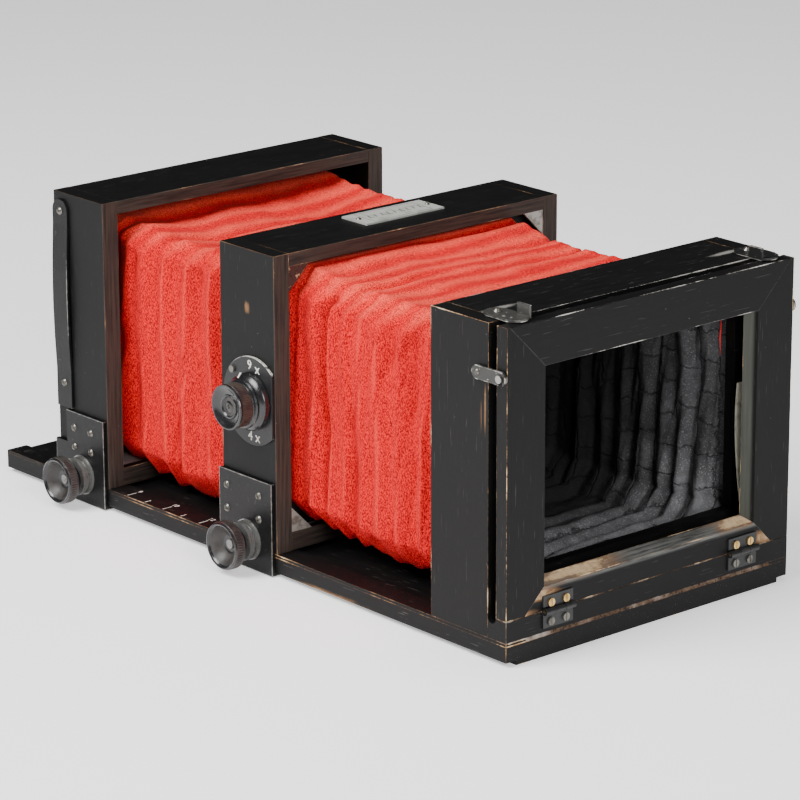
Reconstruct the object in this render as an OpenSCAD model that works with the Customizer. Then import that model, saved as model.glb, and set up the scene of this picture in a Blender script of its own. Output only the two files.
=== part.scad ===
// Tabletop bellows plate camera: a flat bed, a fixed rear box with a hinged back frame,
// and two open box standards that slide on the bed, joined by two cloth bellows.
// X is the width (the knobs are at -X), +Y is the way the lens looks, +Z is up.
// The origin is the centre of the tripod socket on the underside of the bed. Millimetres.

/* [Bed] */
// Length of the baseboard
bed_length = 332; // [320:1:420]
// Width of the baseboard
bed_width = 157; // [130:1:190]
// Thickness of the baseboard itself
board_thickness = 8.6; // [8:0.1:14]
// Thickness of the two wear strips on top of the bed
strip_thickness = 1.4; // [1:0.1:3]
// Width of each wear strip
strip_width = 10.5; // [8:0.5:20]
// Width of the rebate along each bottom edge
rebate_width = 5.5; // [4:0.5:9]
// Height of the rebate along each bottom edge
rebate_height = 2; // [2:0.1:4]

/* [Tripod socket] */
// Wall radius of the socket in the bush
socket_r = 4.76; // [3:0.01:5]
// Radius of the bush barrel
bush_r = 8; // [6:0.1:10]
// Radius of the bush flange
bush_flange_r = 11.5; // [10:0.1:16]
// Thickness of the bush flange
bush_flange_t = 1.5; // [1:0.1:3]

/* [Boxes] */
// Height of the three boxes above the bed
box_height = 128; // [110:1:160]
// Thickness of the side boards
side_thickness = 8; // [5:0.5:12]
// Thickness of the top boards
top_thickness = 5.6; // [4:0.1:10]
// Thickness of the bottom boards
bottom_thickness = 8; // [7:0.1:12]
// Depth of the two sliding boxes
slide_depth = 35; // [32:1:45]
// Depth of the rear box in front of the plate slot
rear_depth = 33.5; // [30:0.5:60]
// Gap between the rear box and the middle box
rear_gap = 96.2; // [80:0.1:130]
// Gap between the middle box and the front box
front_gap = 80.4; // [70:0.1:110]
// Clearance under and beside the sliding boxes
slide_clearance = 0.2; // [0.1:0.05:0.5]

/* [Back frame] */
// Width of the plate-holder slot
slot_width = 4.8; // [4.4:0.1:12]
// Thickness of the hinged back frame
back_thickness = 5.9; // [5:0.1:12]
// Width of the window in the back frame at its rear face
window_width = 117; // [90:1:130]
// Height of the window in the back frame at its rear face
window_height = 90.2; // [70:0.2:100]
// Height of the window's bottom edge above the frame's bottom edge
bottom_rail_height = 10.1; // [8:0.1:20]
// How far the window's bevel narrows it on each side
window_bevel = 2.5; // [1:0.1:4]
// Height of the sill that the back frame is hinged to
sill_height = 8.9; // [8:0.1:14]

/* [Hinges] */
// Length of one butt hinge
hinge_length = 16; // [12:0.5:24]
// Distance of each hinge from the middle
hinge_x = 51.5; // [30:0.5:56]
// Height of one hinge leaf
hinge_leaf = 6; // [5:0.1:8]
// Radius of the hinge knuckles
knuckle_r = 1.4; // [1.2:0.05:2]
// Radius of the hinge pins
hinge_pin_r = 0.6; // [0.4:0.05:0.8]

/* [Bellows] */
// Clearance between the bellows and the side boards
bellows_side_gap = 3; // [2:0.5:8]
// Clearance between the bellows and the top and bottom boards
bellows_top_gap = 2; // [1.5:0.5:8]
// Length of the slanted corner of the bellows along X and Z
bellows_corner = 11; // [6:0.5:16]
// Thickness of the bellows cloth and its lining
bellows_wall = 1.2; // [0.8:0.1:2]
// Border of the wooden frames that the bellows are glued to
bellows_border = 8.5; // [7:0.5:16]
// Thickness of those wooden frames
bellows_frame_t = 3; // [2:0.5:5]

/* [Clamps] */
// Width of the side brackets of the sliding boxes
bracket_width = 34.5; // [30:0.5:44]
// Height of the side brackets above the bed
bracket_height = 30.6; // [24:0.1:40]
// Thickness of the side brackets
bracket_t = 1.6; // [1:0.1:3]
// Thickness of the lip that runs under the bed's edge
lip_t = 1.4; // [1:0.1:2]
// Width of the notch in the front box's brackets
notch_width = 8; // [6:0.5:12]
// Height of the notch in the front box's brackets
notch_height = 14.6; // [10:0.1:20]
// Height of the clamp bolt above the bed
clamp_height = 3; // [2.8:0.1:4]
// Radius of the clamp bolt
clamp_bolt_r = 2; // [1.5:0.1:2.2]
// Radius of the clamp knob
clamp_knob_r = 10.4; // [8:0.1:12]
// Length of the clamp knob
clamp_knob_length = 7.4; // [6:0.1:12]
// Radius of the collar behind the clamp knob
clamp_collar_r = 8.3; // [6.5:0.1:9]

/* [Focal length dial] */
// Radius of the dial plate
dial_r = 18.9; // [16:0.1:24]
// Radius of the dial knob's foot
dial_foot_r = 12.2; // [10:0.1:15]
// Radius of the dial knob's grip
dial_grip_r = 9.7; // [8:0.1:12]
// Distance from the dial's centre to the cut edge of its plate
dial_cut = 13.1; // [11.5:0.1:15]
// Radius of the dial shaft
dial_shaft_r = 2; // [1.5:0.1:3]
// Module of the pinion and rack
gear_module = 0.7; // [0.6:0.05:0.8]
// Teeth of the pinion
pinion_teeth = 10; // [10:1:12]

/* [Lenses] */
// Radius of the sliding rear lens tube
tele_r = 20; // [16:0.5:24]
// Length of the sliding rear lens tube
tele_length = 30; // [28:0.5:34]
// Radius of the front lens barrel
barrel_r = 24; // [18:0.5:28]
// Length of the front lens barrel in front of its board
barrel_length = 30; // [26:0.5:36]
// Wall of both lens tubes
tube_wall = 2; // [1.5:0.1:3]

/* [Hidden] */
$fn = 64;

// Heights.
bed_top = board_thickness + strip_thickness;
slide_z = bed_top + slide_clearance;
box_top = bed_top + box_height;
lens_z = bed_top + box_height / 2;
clamp_z = bed_top + clamp_height;
sill_top = bed_top + sill_height;

// Places along the bed, from the rear end to the front.
bed_rear = -bed_length / 2;
bed_front = bed_length / 2;
back_front = bed_rear + back_thickness;
rear_y0 = back_front + slot_width;
rear_y1 = rear_y0 + rear_depth;
mid_y0 = rear_y1 + rear_gap;
mid_y1 = mid_y0 + slide_depth;
front_y0 = mid_y1 + front_gap;
front_y1 = front_y0 + slide_depth;
mid_y = (mid_y0 + mid_y1) / 2;
front_y = (front_y0 + front_y1) / 2;

// Half widths.
bed_x = bed_width / 2;
slide_x = bed_x + slide_clearance;
inner_x = slide_x - side_thickness;
rear_inner_x = bed_x - side_thickness;

// Wear strip screws.
strip_screw_r = 2.6;
strip_screw_shank_r = 1.3;
strip_screw_depth = 5.5;
strip_screw_inset = 5.9;
strip_screw_ys = [bed_rear + 24, mid_y, bed_front - 8.6];
fit = 0.05;
run_fit = 0.06;

// Back frame and its window.
back_gap = 0.2;
back_z0 = sill_top + back_gap;
window_x = window_width / 2;
window_z0 = back_z0 + bottom_rail_height;
window_z1 = window_z0 + window_height;
top_rail_height = box_top - window_z1;

// Frames that the bellows are glued to, and the bellows themselves.
rear_frame_y = rear_y0 + 5.3;
rear_frame_t = 5;
rear_opening_x = rear_inner_x - 9;
rear_opening_z0 = bed_top + 20.5;
rear_opening_z1 = box_top - 20;
bellows_x = rear_inner_x - bellows_side_gap;
bellows_z0 = slide_z + bottom_thickness + bellows_top_gap;
bellows_z1 = box_top - top_thickness - bellows_top_gap;
dial_y = mid_y - 3.65;
pitch_r = gear_module * pinion_teeth / 2;
pinion_r = pitch_r + 0.8 * gear_module;
mid_frame_rear_y = dial_y - pinion_r - 1 - bellows_frame_t;
panel_t = 5;
panel_y0 = dial_y + pinion_r + 3.5;
panel_y1 = panel_y0 + panel_t;
mid_frame_front_y = panel_y1 + 2;
lens_board_t = 5;
lens_board_y = front_y1 - lens_board_t;
front_frame_y = lens_board_y - bellows_frame_t;

// Hinges of the back frame.
leaf_t = 0.8;
hinge_y = bed_rear - knuckle_r - 0.1;
hinge_z = sill_top + back_gap / 2;
knuckle_gap = 0.2;
knuckle_length = (hinge_length - 2 * knuckle_gap) / 3;
hinge_screw_r = 1.7;
hinge_screw_head = 0.7;
hinge_screw_depth = 5;
hinge_screw_x = hinge_length / 4;
hinge_screw_z = hinge_leaf / 2 + 0.4;
hinge_screw_low = hinge_leaf / 2 + 1.5;

// Turn latches on the rear box's top, and hooks on its sides.
latch_t = 1;
latch_gap = 0.5;
latch_x = bed_x - 10;
latch_y = rear_y0 + 6;
latch_reach = 15.5;
latch_r = 5.4;
latch_tip_r = 5.4;
latch_tab = 4.2;
latch_screw_r = 1.9;
hook_t = 1.2;
hook_gap = 0.3;
hook_z = bed_top + 107.6;
hook_y = rear_y0 + 5.2;
hook_reach = 13.4;
hook_r = 2.9;
hook_screw_r = 1.6;
stud_r = 0.9;

// Brackets, clamps and their screws.
bracket_shift = 1.2;
bracket_x = slide_x + bracket_t;
lip_top = rebate_height - slide_clearance;
lip_width = rebate_width - 1.5;
bracket_top = bed_top + bracket_height;
round_head_r = 1.8;
round_head_h = 1.1;
shank_r = 1.1;
shank_length = 6;
collar_gap = 0.4;
collar_t = 4.8;
neck_t = 1.6;
neck_r = 6;
washer_r = clamp_collar_r + 0.5;
knob_rim = 5.2;
collar_groove = 0.8;
knob_x = bracket_x + collar_gap + collar_t;
bolt_channel = clamp_bolt_r + 0.3;
bolt_head_r = 5;
bolt_head_t = 3;

// Dial and its rack drive.
dial_t = 1.2;
dial_screw_y = 12.3;
dial_screw_z = 11.3;
dial_foot_gap = 0.2;
dial_foot_t = 2.6;
dial_cone_t = 1.6;
dial_bead_r = 10.7;
dial_bead_t = 1.9;
dial_grip_t = 5.6;
dial_rim_t = 1.8;
dial_x = slide_x + dial_t + dial_foot_gap;
dial_end = dial_x + dial_foot_t + dial_cone_t + dial_bead_t + dial_grip_t + dial_rim_t;
rack_width = 4;
rack_gap = 2;
rack_x = tele_r + rack_gap;
rack_height = 3;
travel = pitch_r * PI;
tele_y0 = panel_y0 - (tele_length - panel_t) + 5;
pressure = 20;

// Front lens.
board_bore_r = barrel_r + 0.15;
flange_r = barrel_r + 7;
flange_t = 2;
glass_t = 5;
iris_t = 7;
iris_y = front_y1 + flange_t + 6;

// Stays of the front box.
stay_width = 10.4;
stay_t = 1.2;
stay_bow = 1.1;
stay_top = box_top - 3;
stay_bottom = bracket_top + 0.8;
stay_y = front_y1 - 0.4 - stay_width / 2;
stay_screw_top = box_top - 8.2;
stay_screw_low = bed_top + 42.5;

// ---- Shared shapes ----

// A box given by its lowest and highest corners.
module block(low, high) {
    translate(low) cube(high - low);
}

// A cylinder along X, between x0 and x1.
module x_bar(r, x0, x1, y, z) {
    translate([x0, y, z]) rotate([0, 90, 0]) cylinder(r = r, h = x1 - x0);
}

// A cylinder along Y, between y0 and y1.
module y_bar(r, y0, y1, x, z) {
    translate([x, y0, z]) rotate([-90, 0, 0]) cylinder(r = r, h = y1 - y0);
}

// A flat outline in Y and Z, thickened along X.
module yz_plate(x0, x1) {
    translate([x0, 0, 0]) rotate([90, 0, 90]) linear_extrude(x1 - x0) children();
}

// A flat outline in X and Z, thickened along Y.
module xz_plate(y0, y1) {
    translate([0, y1, 0]) rotate([90, 0, 0]) linear_extrude(y1 - y0) children();
}

// Copies its children on both sides of the camera.
module both_sides() {
    children();
    mirror([1, 0, 0]) children();
}

// A slotted round-head screw whose head sits on a face at x and looks to -X.
module side_screw(x, y, z, head_r = round_head_r, head_h = round_head_h, depth = shank_length) {
    difference() {
        union() {
            intersection() {
                translate([-x + head_h * 0.9, y, z]) sphere(r = head_r * 1.12);
                x_bar(head_r, -x - head_h, -x, y, z);
            }
            x_bar(shank_r, -x - 0.1, -x + depth, y, z);
        }
        block([-x - head_h - 1, y - head_r - 1, z - 0.25], [-x - head_h / 2, y + head_r + 1, z + 0.25]);
    }
}

// The hole that a side screw goes in.
module side_screw_hole(x, y, z, depth = shank_length) {
    x_bar(shank_r + fit, -x - 5, -x + depth + 0.2, y, z);
}

// Outline of the slanted-corner bellows, grown by g.
module bellows_outline(g) {
    c = bellows_corner + g * 0.586;
    x = bellows_x + g;
    z0 = bellows_z0 - g;
    z1 = bellows_z1 + g;
    polygon([
        [-x + c, z0], [x - c, z0], [x, z0 + c], [x, z1 - c],
        [x - c, z1], [-x + c, z1], [-x, z1 - c], [-x, z0 + c]
    ]);
}

// One straight bellows tube between two frames.
module bellows_tube(y0, y1) {
    difference() {
        xz_plate(y0, y1) bellows_outline(0);
        xz_plate(y0 - 1, y1 + 1) bellows_outline(-bellows_wall);
    }
}

// A wooden frame inside a box, that one end of a bellows is glued to.
module bellows_frame(y0, y1, half_x, z0, z1) {
    difference() {
        block([-half_x, y0, z0], [half_x, y1, z1]);
        block([-half_x + bellows_border, y0 - 1, z0 + bellows_border],
              [half_x - bellows_border, y1 + 1, z1 - bellows_border]);
    }
}

// ---- Bed ----

module bed_section() {
    x = bed_x;
    r = bed_x - rebate_width;
    polygon([
        [-r, 0], [r, 0], [r, rebate_height], [x, rebate_height],
        [x, board_thickness], [-x, board_thickness], [-x, rebate_height], [-r, rebate_height]
    ]);
}

// One countersunk strip screw at its own length, grown by g.
module strip_screw(x, y, g) {
    translate([x, y, bed_top - strip_screw_depth - g])
        cylinder(r = strip_screw_shank_r + g, h = strip_screw_depth + g);
    translate([x, y, bed_top - 1.3 - g])
        cylinder(r1 = strip_screw_shank_r + g, r2 = strip_screw_r + g, h = 1.3 + g);
}

module strip_screw_set(g) {
    for (y = strip_screw_ys) both_sides() strip_screw(-bed_x + strip_screw_inset, y, g);
}

module bed_board() {
    color([0.13, 0.12, 0.12]) difference() {
        xz_plate(bed_rear, bed_front) bed_section();
        strip_screw_set(fit);
        translate([0, 0, -1]) cylinder(r = bush_r + fit, h = board_thickness + 2);
        translate([0, 0, -1]) cylinder(r = bush_flange_r + fit, h = bush_flange_t + 1);
    }
}

module bed_strips() {
    color([0.17, 0.15, 0.14]) difference() {
        both_sides() block([-bed_x, bed_rear, board_thickness],
                           [-bed_x + strip_width, bed_front, bed_top]);
        strip_screw_set(fit);
    }
}

module bed_strip_screws() {
    color([0.75, 0.72, 0.65]) difference() {
        strip_screw_set(0);
        for (y = strip_screw_ys) both_sides() {
            x = -bed_x + strip_screw_inset;
            block([x - strip_screw_r, y - 0.3, bed_top - 0.6], [x + strip_screw_r, y + 0.3, bed_top + 1]);
        }
    }
}

module tripod_bush() {
    color([0.72, 0.58, 0.3]) difference() {
        union() {
            cylinder(r = bush_flange_r, h = bush_flange_t);
            cylinder(r = bush_r, h = board_thickness);
        }
        translate([0, 0, -1]) cylinder(r = socket_r, h = board_thickness + 2);
    }
}

// ---- Rear box ----

// The side board at -X, with its screw holes.
module rear_side() {
    difference() {
        block([-bed_x, rear_y0, bed_top], [-rear_inner_x, rear_y1, box_top]);
        side_screw_hole(bed_x, hook_y, hook_z);
        latch_screw_hole();
    }
}

module rear_side_left() {
    color([0.2, 0.2, 0.21]) rear_side();
}

module rear_side_right() {
    color([0.2, 0.2, 0.21]) mirror([1, 0, 0]) rear_side();
}

module rear_top_board() {
    color([0.2, 0.2, 0.21]) difference() {
        block([-rear_inner_x, rear_y0, box_top - top_thickness], [rear_inner_x, rear_y1, box_top]);
        both_sides() latch_screw_hole();
    }
}

// The sill carries the hinges behind and is the floor of the rear box in front.
module rear_sill() {
    floor_top = bed_top + bottom_thickness;
    slot_r = slot_width / 2;
    color([0.19, 0.18, 0.18]) difference() {
        union() {
            block([-bed_x, bed_rear, bed_top], [bed_x, rear_y0, sill_top]);
            block([-rear_inner_x, rear_y0 - 0.1, bed_top], [rear_inner_x, rear_y1, floor_top]);
            block([-bed_x + strip_width, bed_rear, board_thickness],
                  [bed_x - strip_width, rear_y1, bed_top + 0.1]);
        }
        x_bar(slot_r, -bed_x - 1, bed_x + 1, back_front + slot_r, sill_top);
        for (s = [-1, 1]) for (k = [-1, 1])
            hinge_screw_hole(s * hinge_x + k * hinge_screw_x, hinge_z - hinge_screw_low);
    }
}

module rear_bellows_frame() {
    floor_top = bed_top + bottom_thickness;
    color([0.14, 0.14, 0.15]) difference() {
        block([-rear_inner_x, rear_frame_y, floor_top],
              [rear_inner_x, rear_frame_y + rear_frame_t, box_top - top_thickness]);
        block([-rear_opening_x, rear_frame_y - 1, rear_opening_z0],
              [rear_opening_x, rear_frame_y + rear_frame_t + 1, rear_opening_z1]);
        both_sides() latch_screw_hole();
    }
}

// ---- Hinges ----

module hinge_screw_hole(x, z) {
    y_bar(shank_r + fit, bed_rear - 3, bed_rear + hinge_screw_depth + 0.2, x, z);
}

// A slotted screw that holds a hinge leaf on the rear face.
module hinge_screw(x, z) {
    head_y = bed_rear - leaf_t;
    difference() {
        union() {
            y_bar(hinge_screw_r, head_y - hinge_screw_head, head_y, x, z);
            y_bar(shank_r, head_y - 0.1, bed_rear + hinge_screw_depth, x, z);
        }
        block([x - 0.22, head_y - hinge_screw_head - 1, z - hinge_screw_r - 1],
              [x + 0.22, head_y - hinge_screw_head / 2, z + hinge_screw_r + 1]);
    }
}

// One knuckle of a hinge, from x0 to x1, with the web that joins it to its leaf.
module knuckle(x0, x1, up, bore_r) {
    difference() {
        union() {
            x_bar(knuckle_r, x0, x1, hinge_y, hinge_z);
            block([x0, bed_rear - leaf_t, hinge_z + (up ? 0 : -knuckle_r - 1)],
                  [x1, bed_rear, hinge_z + (up ? knuckle_r + 1 : 0)]);
        }
        x_bar(bore_r, x0 - 1, x1 + 1, hinge_y, hinge_z);
    }
}

module hinge_leaf_screw_holes(x, z) {
    for (k = [-1, 1]) y_bar(shank_r + fit, bed_rear - 3, bed_rear + 1, x + k * hinge_screw_x, z);
}

module hinge_leaves_fixed() {
    half = hinge_length / 2;
    color([0.16, 0.16, 0.16]) for (s = [-1, 1]) {
        x = s * hinge_x;
        difference() {
            block([x - half, bed_rear - leaf_t, hinge_z - hinge_leaf - 1],
                  [x + half, bed_rear, hinge_z - knuckle_r - 0.4]);
            hinge_leaf_screw_holes(x, hinge_z - hinge_screw_low);
        }
        knuckle(x - half, x - half + knuckle_length, false, hinge_pin_r);
        knuckle(x + half - knuckle_length, x + half, false, hinge_pin_r);
    }
}

module hinge_leaves_moving() {
    half = hinge_length / 2;
    color([0.16, 0.16, 0.16]) for (s = [-1, 1]) {
        x = s * hinge_x;
        difference() {
            block([x - half, bed_rear - leaf_t, hinge_z + knuckle_r + 0.4],
                  [x + half, bed_rear, hinge_z + hinge_leaf + 0.4]);
            hinge_leaf_screw_holes(x, hinge_z + hinge_screw_z);
        }
        knuckle(x - knuckle_length / 2, x + knuckle_length / 2, true, hinge_pin_r + run_fit);
    }
}

module hinge_pins() {
    half = hinge_length / 2;
    color([0.5, 0.42, 0.28]) for (s = [-1, 1])
        x_bar(hinge_pin_r, s * hinge_x - half, s * hinge_x + half, hinge_y, hinge_z);
}

module hinge_screws_moving() {
    color([0.72, 0.58, 0.28]) for (s = [-1, 1]) for (k = [-1, 1])
        hinge_screw(s * hinge_x + k * hinge_screw_x, hinge_z + hinge_screw_z);
}

// Screws of the rear box: four in the fixed leaves, two latch pivots and two hook pivots.
module rear_box_screws() {
    color([0.72, 0.6, 0.35]) {
        for (s = [-1, 1]) for (k = [-1, 1])
            hinge_screw(s * hinge_x + k * hinge_screw_x, hinge_z - hinge_screw_low);
        both_sides() {
            latch_screw();
            hook_screw();
        }
    }
}

// ---- Back frame ----

module mitre_top() {
    x = window_x + top_rail_height;
    d = window_bevel + 3;
    xz_plate(bed_rear - 1, back_front + 1) polygon([
        [-x - 1, box_top + 1], [x + 1, box_top + 1],
        [window_x - d, window_z1 - d], [-window_x + d, window_z1 - d]
    ]);
}

module mitre_bottom() {
    x = window_x + bottom_rail_height;
    d = window_bevel + 3;
    xz_plate(bed_rear - 1, back_front + 1) polygon([
        [-x - 1, back_z0 - 1], [x + 1, back_z0 - 1],
        [window_x - d, window_z0 + d], [-window_x + d, window_z0 + d]
    ]);
}

module back_rail_top() {
    x = window_x + top_rail_height;
    color([0.2, 0.2, 0.2]) intersection() {
        yz_plate(-x, x) polygon([
            [bed_rear, window_z1], [back_front, window_z1 - window_bevel],
            [back_front, box_top], [bed_rear, box_top]
        ]);
        mitre_top();
    }
}

module back_rail_bottom() {
    x = window_x + bottom_rail_height;
    color([0.3, 0.26, 0.22]) difference() {
        intersection() {
            yz_plate(-x, x) polygon([
                [bed_rear, back_z0], [back_front, back_z0],
                [back_front, window_z0 + window_bevel], [bed_rear, window_z0]
            ]);
            mitre_bottom();
        }
        for (s = [-1, 1]) for (k = [-1, 1])
            hinge_screw_hole(s * hinge_x + k * hinge_screw_x, hinge_z + hinge_screw_z);
    }
}

// The stile at -X.
module back_stile() {
    difference() {
        translate([0, 0, back_z0]) linear_extrude(box_top - back_z0) polygon([
            [-bed_x, bed_rear], [-window_x, bed_rear],
            [-window_x + window_bevel, back_front], [-bed_x, back_front]
        ]);
        mitre_top();
        mitre_bottom();
        x_bar(stud_r + fit, -bed_x - 1, -bed_x + 5, hook_y - hook_reach, hook_z);
        for (k = [-1, 1]) hinge_screw_hole(-hinge_x + k * hinge_screw_x, hinge_z + hinge_screw_z);
    }
}

module back_stile_left() {
    color([0.2, 0.2, 0.2]) back_stile();
}

module back_stile_right() {
    color([0.2, 0.2, 0.2]) mirror([1, 0, 0]) back_stile();
}

// A bowed leaf on each stile, that presses the plate holder forwards.
spring_x = window_x - window_bevel + 1;
spring_width = 6;
spring_foot = 5;
spring_z0 = bed_top + 23;
spring_z1 = bed_top + 77;
spring_t = 0.5;
spring_bow = slot_width - spring_t - 0.15;
spring_steps = 12;

function bow_points(y, z0, z1, bow, end, steps) = [
    for (i = [0 : steps]) [y + bow * sin(end * i / steps), z0 + (z1 - z0) * i / steps]
];

// A strip in Y and Z that starts on a line and bows towards +Y; end is the arc's last angle.
module bowed_strip(y, z0, z1, bow, t, end, steps) {
    a = bow_points(y, z0, z1, bow, end, steps);
    b = bow_points(y + t, z0, z1, bow, end, steps);
    polygon([for (i = [0 : steps]) a[i], for (i = [steps : -1 : 0]) b[i]]);
}

module plate_springs() {
    color([0.42, 0.4, 0.32]) both_sides() {
        yz_plate(-spring_x - spring_width, -spring_x)
            bowed_strip(back_front, spring_z0, spring_z1, spring_bow, spring_t, 125, spring_steps);
        block([-spring_x - spring_width, back_front, spring_z0 - spring_foot],
              [-spring_x, back_front + spring_t, spring_z0 + 0.2]);
    }
}

// ---- Latches and hooks ----

module latch_screw_hole() {
    translate([-latch_x, latch_y, box_top - shank_length]) cylinder(r = shank_r + fit, h = shank_length + 2);
}

module latch_screw() {
    z = box_top + latch_gap + latch_t + 0.1;
    difference() {
        translate([-latch_x, latch_y, 0]) {
            translate([0, 0, box_top - shank_length + 0.2])
                cylinder(r = shank_r, h = z - box_top + shank_length);
            translate([0, 0, z]) cylinder(r1 = latch_screw_r, r2 = latch_screw_r * 0.6, h = 1.2);
        }
        block([-latch_x - 3, latch_y - 0.25, z + 0.7], [-latch_x + 3, latch_y + 0.25, z + 2]);
    }
}

// A leaf that turns about its screw, with a bent-up finger tab at its outer edge.
module latch() {
    z0 = box_top + latch_gap;
    z1 = z0 + latch_t;
    tip_y = latch_y - latch_reach;
    difference() {
        union() {
            translate([-latch_x, latch_y, z0]) cylinder(r = latch_r, h = latch_t);
            translate([-latch_x, tip_y + latch_tip_r, z0]) cylinder(r = latch_tip_r, h = latch_t);
            translate([0, 0, z0]) linear_extrude(latch_t) polygon([
                [-latch_x - latch_r * 0.98, latch_y - 1.4], [-latch_x + latch_r * 0.98, latch_y - 1.4],
                [-latch_x + latch_tip_r * 0.98, tip_y + latch_tip_r - 1],
                [-latch_x - latch_tip_r * 0.98, tip_y + latch_tip_r - 1]
            ]);
            block([-latch_x + latch_tip_r - 1, tip_y + 2.2, z0],
                  [-latch_x + latch_tip_r, tip_y + 9.2, z1 + latch_tab]);
        }
        translate([-latch_x, latch_y, z0 - 1]) cylinder(r = shank_r + 0.1, h = latch_t + 2);
    }
}

module top_latch_left() {
    color([0.3, 0.29, 0.27]) latch();
}

module top_latch_right() {
    color([0.2, 0.2, 0.2]) mirror([1, 0, 0]) latch();
}

module hook_screw() {
    side_screw(bed_x + hook_gap + hook_t + 0.1, hook_y, hook_z, hook_screw_r, 1.2, hook_gap + hook_t + 6);
}

// A flat hook that turns about its screw and drops over the stud of the back frame.
module hook() {
    x1 = -bed_x - hook_gap;
    x0 = x1 - hook_t;
    stud_y = hook_y - hook_reach;
    difference() {
        union() {
            x_bar(hook_r, x0, x1, hook_y, hook_z);
            x_bar(hook_r, x0, x1, stud_y, hook_z);
            block([x0, stud_y, hook_z - hook_r * 0.95], [x1, hook_y, hook_z + hook_r * 0.95]);
        }
        x_bar(shank_r + 0.1, x0 - 1, x1 + 1, hook_y, hook_z);
        x_bar(stud_r + 0.25, x0 - 1, x1 + 1, stud_y, hook_z);
        block([x0 - 1, stud_y - stud_r - 0.25, hook_z - hook_r - 1], [x1 + 1, stud_y + stud_r + 0.25, hook_z]);
    }
}

module side_hook_left() {
    color([0.5, 0.5, 0.48]) hook();
}

module side_hook_right() {
    color([0.5, 0.5, 0.48]) mirror([1, 0, 0]) hook();
}

module hook_studs() {
    x_face = -bed_x - hook_gap - hook_t - 0.15;
    color([0.72, 0.6, 0.4]) both_sides() {
        x_bar(stud_r, x_face - 0.1, -bed_x + 4.5, hook_y - hook_reach, hook_z);
        x_bar(hook_screw_r, x_face - 0.9, x_face, hook_y - hook_reach, hook_z);
    }
}

// ---- Sliding boxes ----

// The side board at -X of a sliding box, with its bracket screw holes and bolt hole.
module slide_side(y0, screws) {
    y1 = y0 + slide_depth;
    difference() {
        block([-slide_x, y0, slide_z], [-inner_x, y1, box_top]);
        x_bar(bolt_channel, -slide_x - 1, -inner_x + 1, (y0 + y1) / 2, clamp_z);
        for (p = screws) side_screw_hole(slide_x, p[0], p[1]);
    }
}

module slide_top(y0) {
    block([-inner_x, y0, box_top - top_thickness], [inner_x, y0 + slide_depth, box_top]);
}

// The bottom board has a channel underneath for the clamp bolt.
module slide_bottom(y0) {
    y = y0 + slide_depth / 2;
    difference() {
        block([-inner_x, y0, slide_z], [inner_x, y0 + slide_depth, slide_z + bottom_thickness]);
        block([-inner_x - 1, y - bolt_channel, slide_z - 1], [inner_x + 1, y + bolt_channel, clamp_z]);
        x_bar(bolt_channel, -inner_x - 1, inner_x + 1, y, clamp_z);
    }
}

// The bracket at -X: a plate on the side board with a lip under the bed's edge.
module bracket(y0, y1, notch, screws, bolt_y) {
    lip_z = lip_top - lip_t;
    difference() {
        union() {
            block([-bracket_x, y0, lip_z], [-slide_x, y1, bracket_top]);
            block([-slide_x - 0.1, y0, lip_z], [-slide_x + lip_width, y1, lip_top]);
        }
        if (notch) block([-bracket_x - 1, y1 - notch_width, bracket_top - notch_height],
                         [-slide_x + 1, y1 + 1, bracket_top + 1]);
        x_bar(bolt_channel, -bracket_x - 1, -slide_x + 1, bolt_y, clamp_z);
        for (p = screws) side_screw_hole(bracket_x, p[0], p[1]);
    }
}

// The fixed cross bolt: it spans the box, and the knob turns on its end at -X.
module clamp_bolt(y) {
    color([0.5, 0.5, 0.5]) {
        x_bar(clamp_bolt_r, -knob_x - neck_t - 3, bracket_x + 0.1, y, clamp_z);
        x_bar(bolt_head_r, bracket_x, bracket_x + bolt_head_t, y, clamp_z);
    }
}

// The grey collar and its thin washer, between the bracket and the knob.
module clamp_collar(y) {
    color([0.55, 0.56, 0.56]) difference() {
        union() {
            x_bar(washer_r, -bracket_x - collar_gap, -bracket_x, y, clamp_z);
            x_bar(clamp_collar_r, -bracket_x - collar_gap - 1.6, -bracket_x - collar_gap + 0.01, y, clamp_z);
            x_bar(clamp_collar_r - collar_groove, -knob_x, -bracket_x - collar_gap, y, clamp_z);
            x_bar(clamp_collar_r, -knob_x, -bracket_x - collar_gap - 2.6, y, clamp_z);
        }
        x_bar(clamp_bolt_r, -knob_x - 1, -bracket_x + 1, y, clamp_z);
    }
}

// A cup-shaped clamp knob with a knurled rim and a hollow face.
module clamp_knob(y) {
    x0 = -knob_x - 0.15;
    x1 = x0 - neck_t;
    x2 = x1 - clamp_knob_length;
    cup_r = clamp_knob_r - 1.6;
    color([0.2, 0.19, 0.18]) translate([0, y, clamp_z]) difference() {
        union() {
            x_bar(neck_r, x1 - 0.1, x0, 0, 0);
            x_bar(clamp_knob_r, x2, x2 + knob_rim, 0, 0);
            translate([x2 + knob_rim, 0, 0]) rotate([0, 90, 0])
                cylinder(r1 = clamp_knob_r - 0.5, r2 = neck_r, h = clamp_knob_length - knob_rim);
        }
        x_bar(clamp_bolt_r + run_fit, x1 - 3, x0 + 1, 0, 0);
        translate([x2 - cup_r * 0.42, 0, 0]) sphere(r = cup_r * 1.085);
    }
}

// ---- Middle box ----

mid_bracket_y0 = mid_y + bracket_shift - bracket_width / 2;
mid_bracket_y1 = mid_bracket_y0 + bracket_width;
mid_screw_y = mid_y + 3;
screw_z_low = bed_top + 13.5;
screw_z_high = bed_top + 23.7;
mid_screws = [
    for (y = [-10.5, 10.5]) for (z = [screw_z_low, screw_z_high]) [mid_screw_y + y, z]
];
dial_screws = [for (k = [-1, 1]) [dial_y + dial_screw_y, lens_z + k * dial_screw_z]];
small_screw_r = 1.5;
small_shank_r = 0.8;

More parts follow.
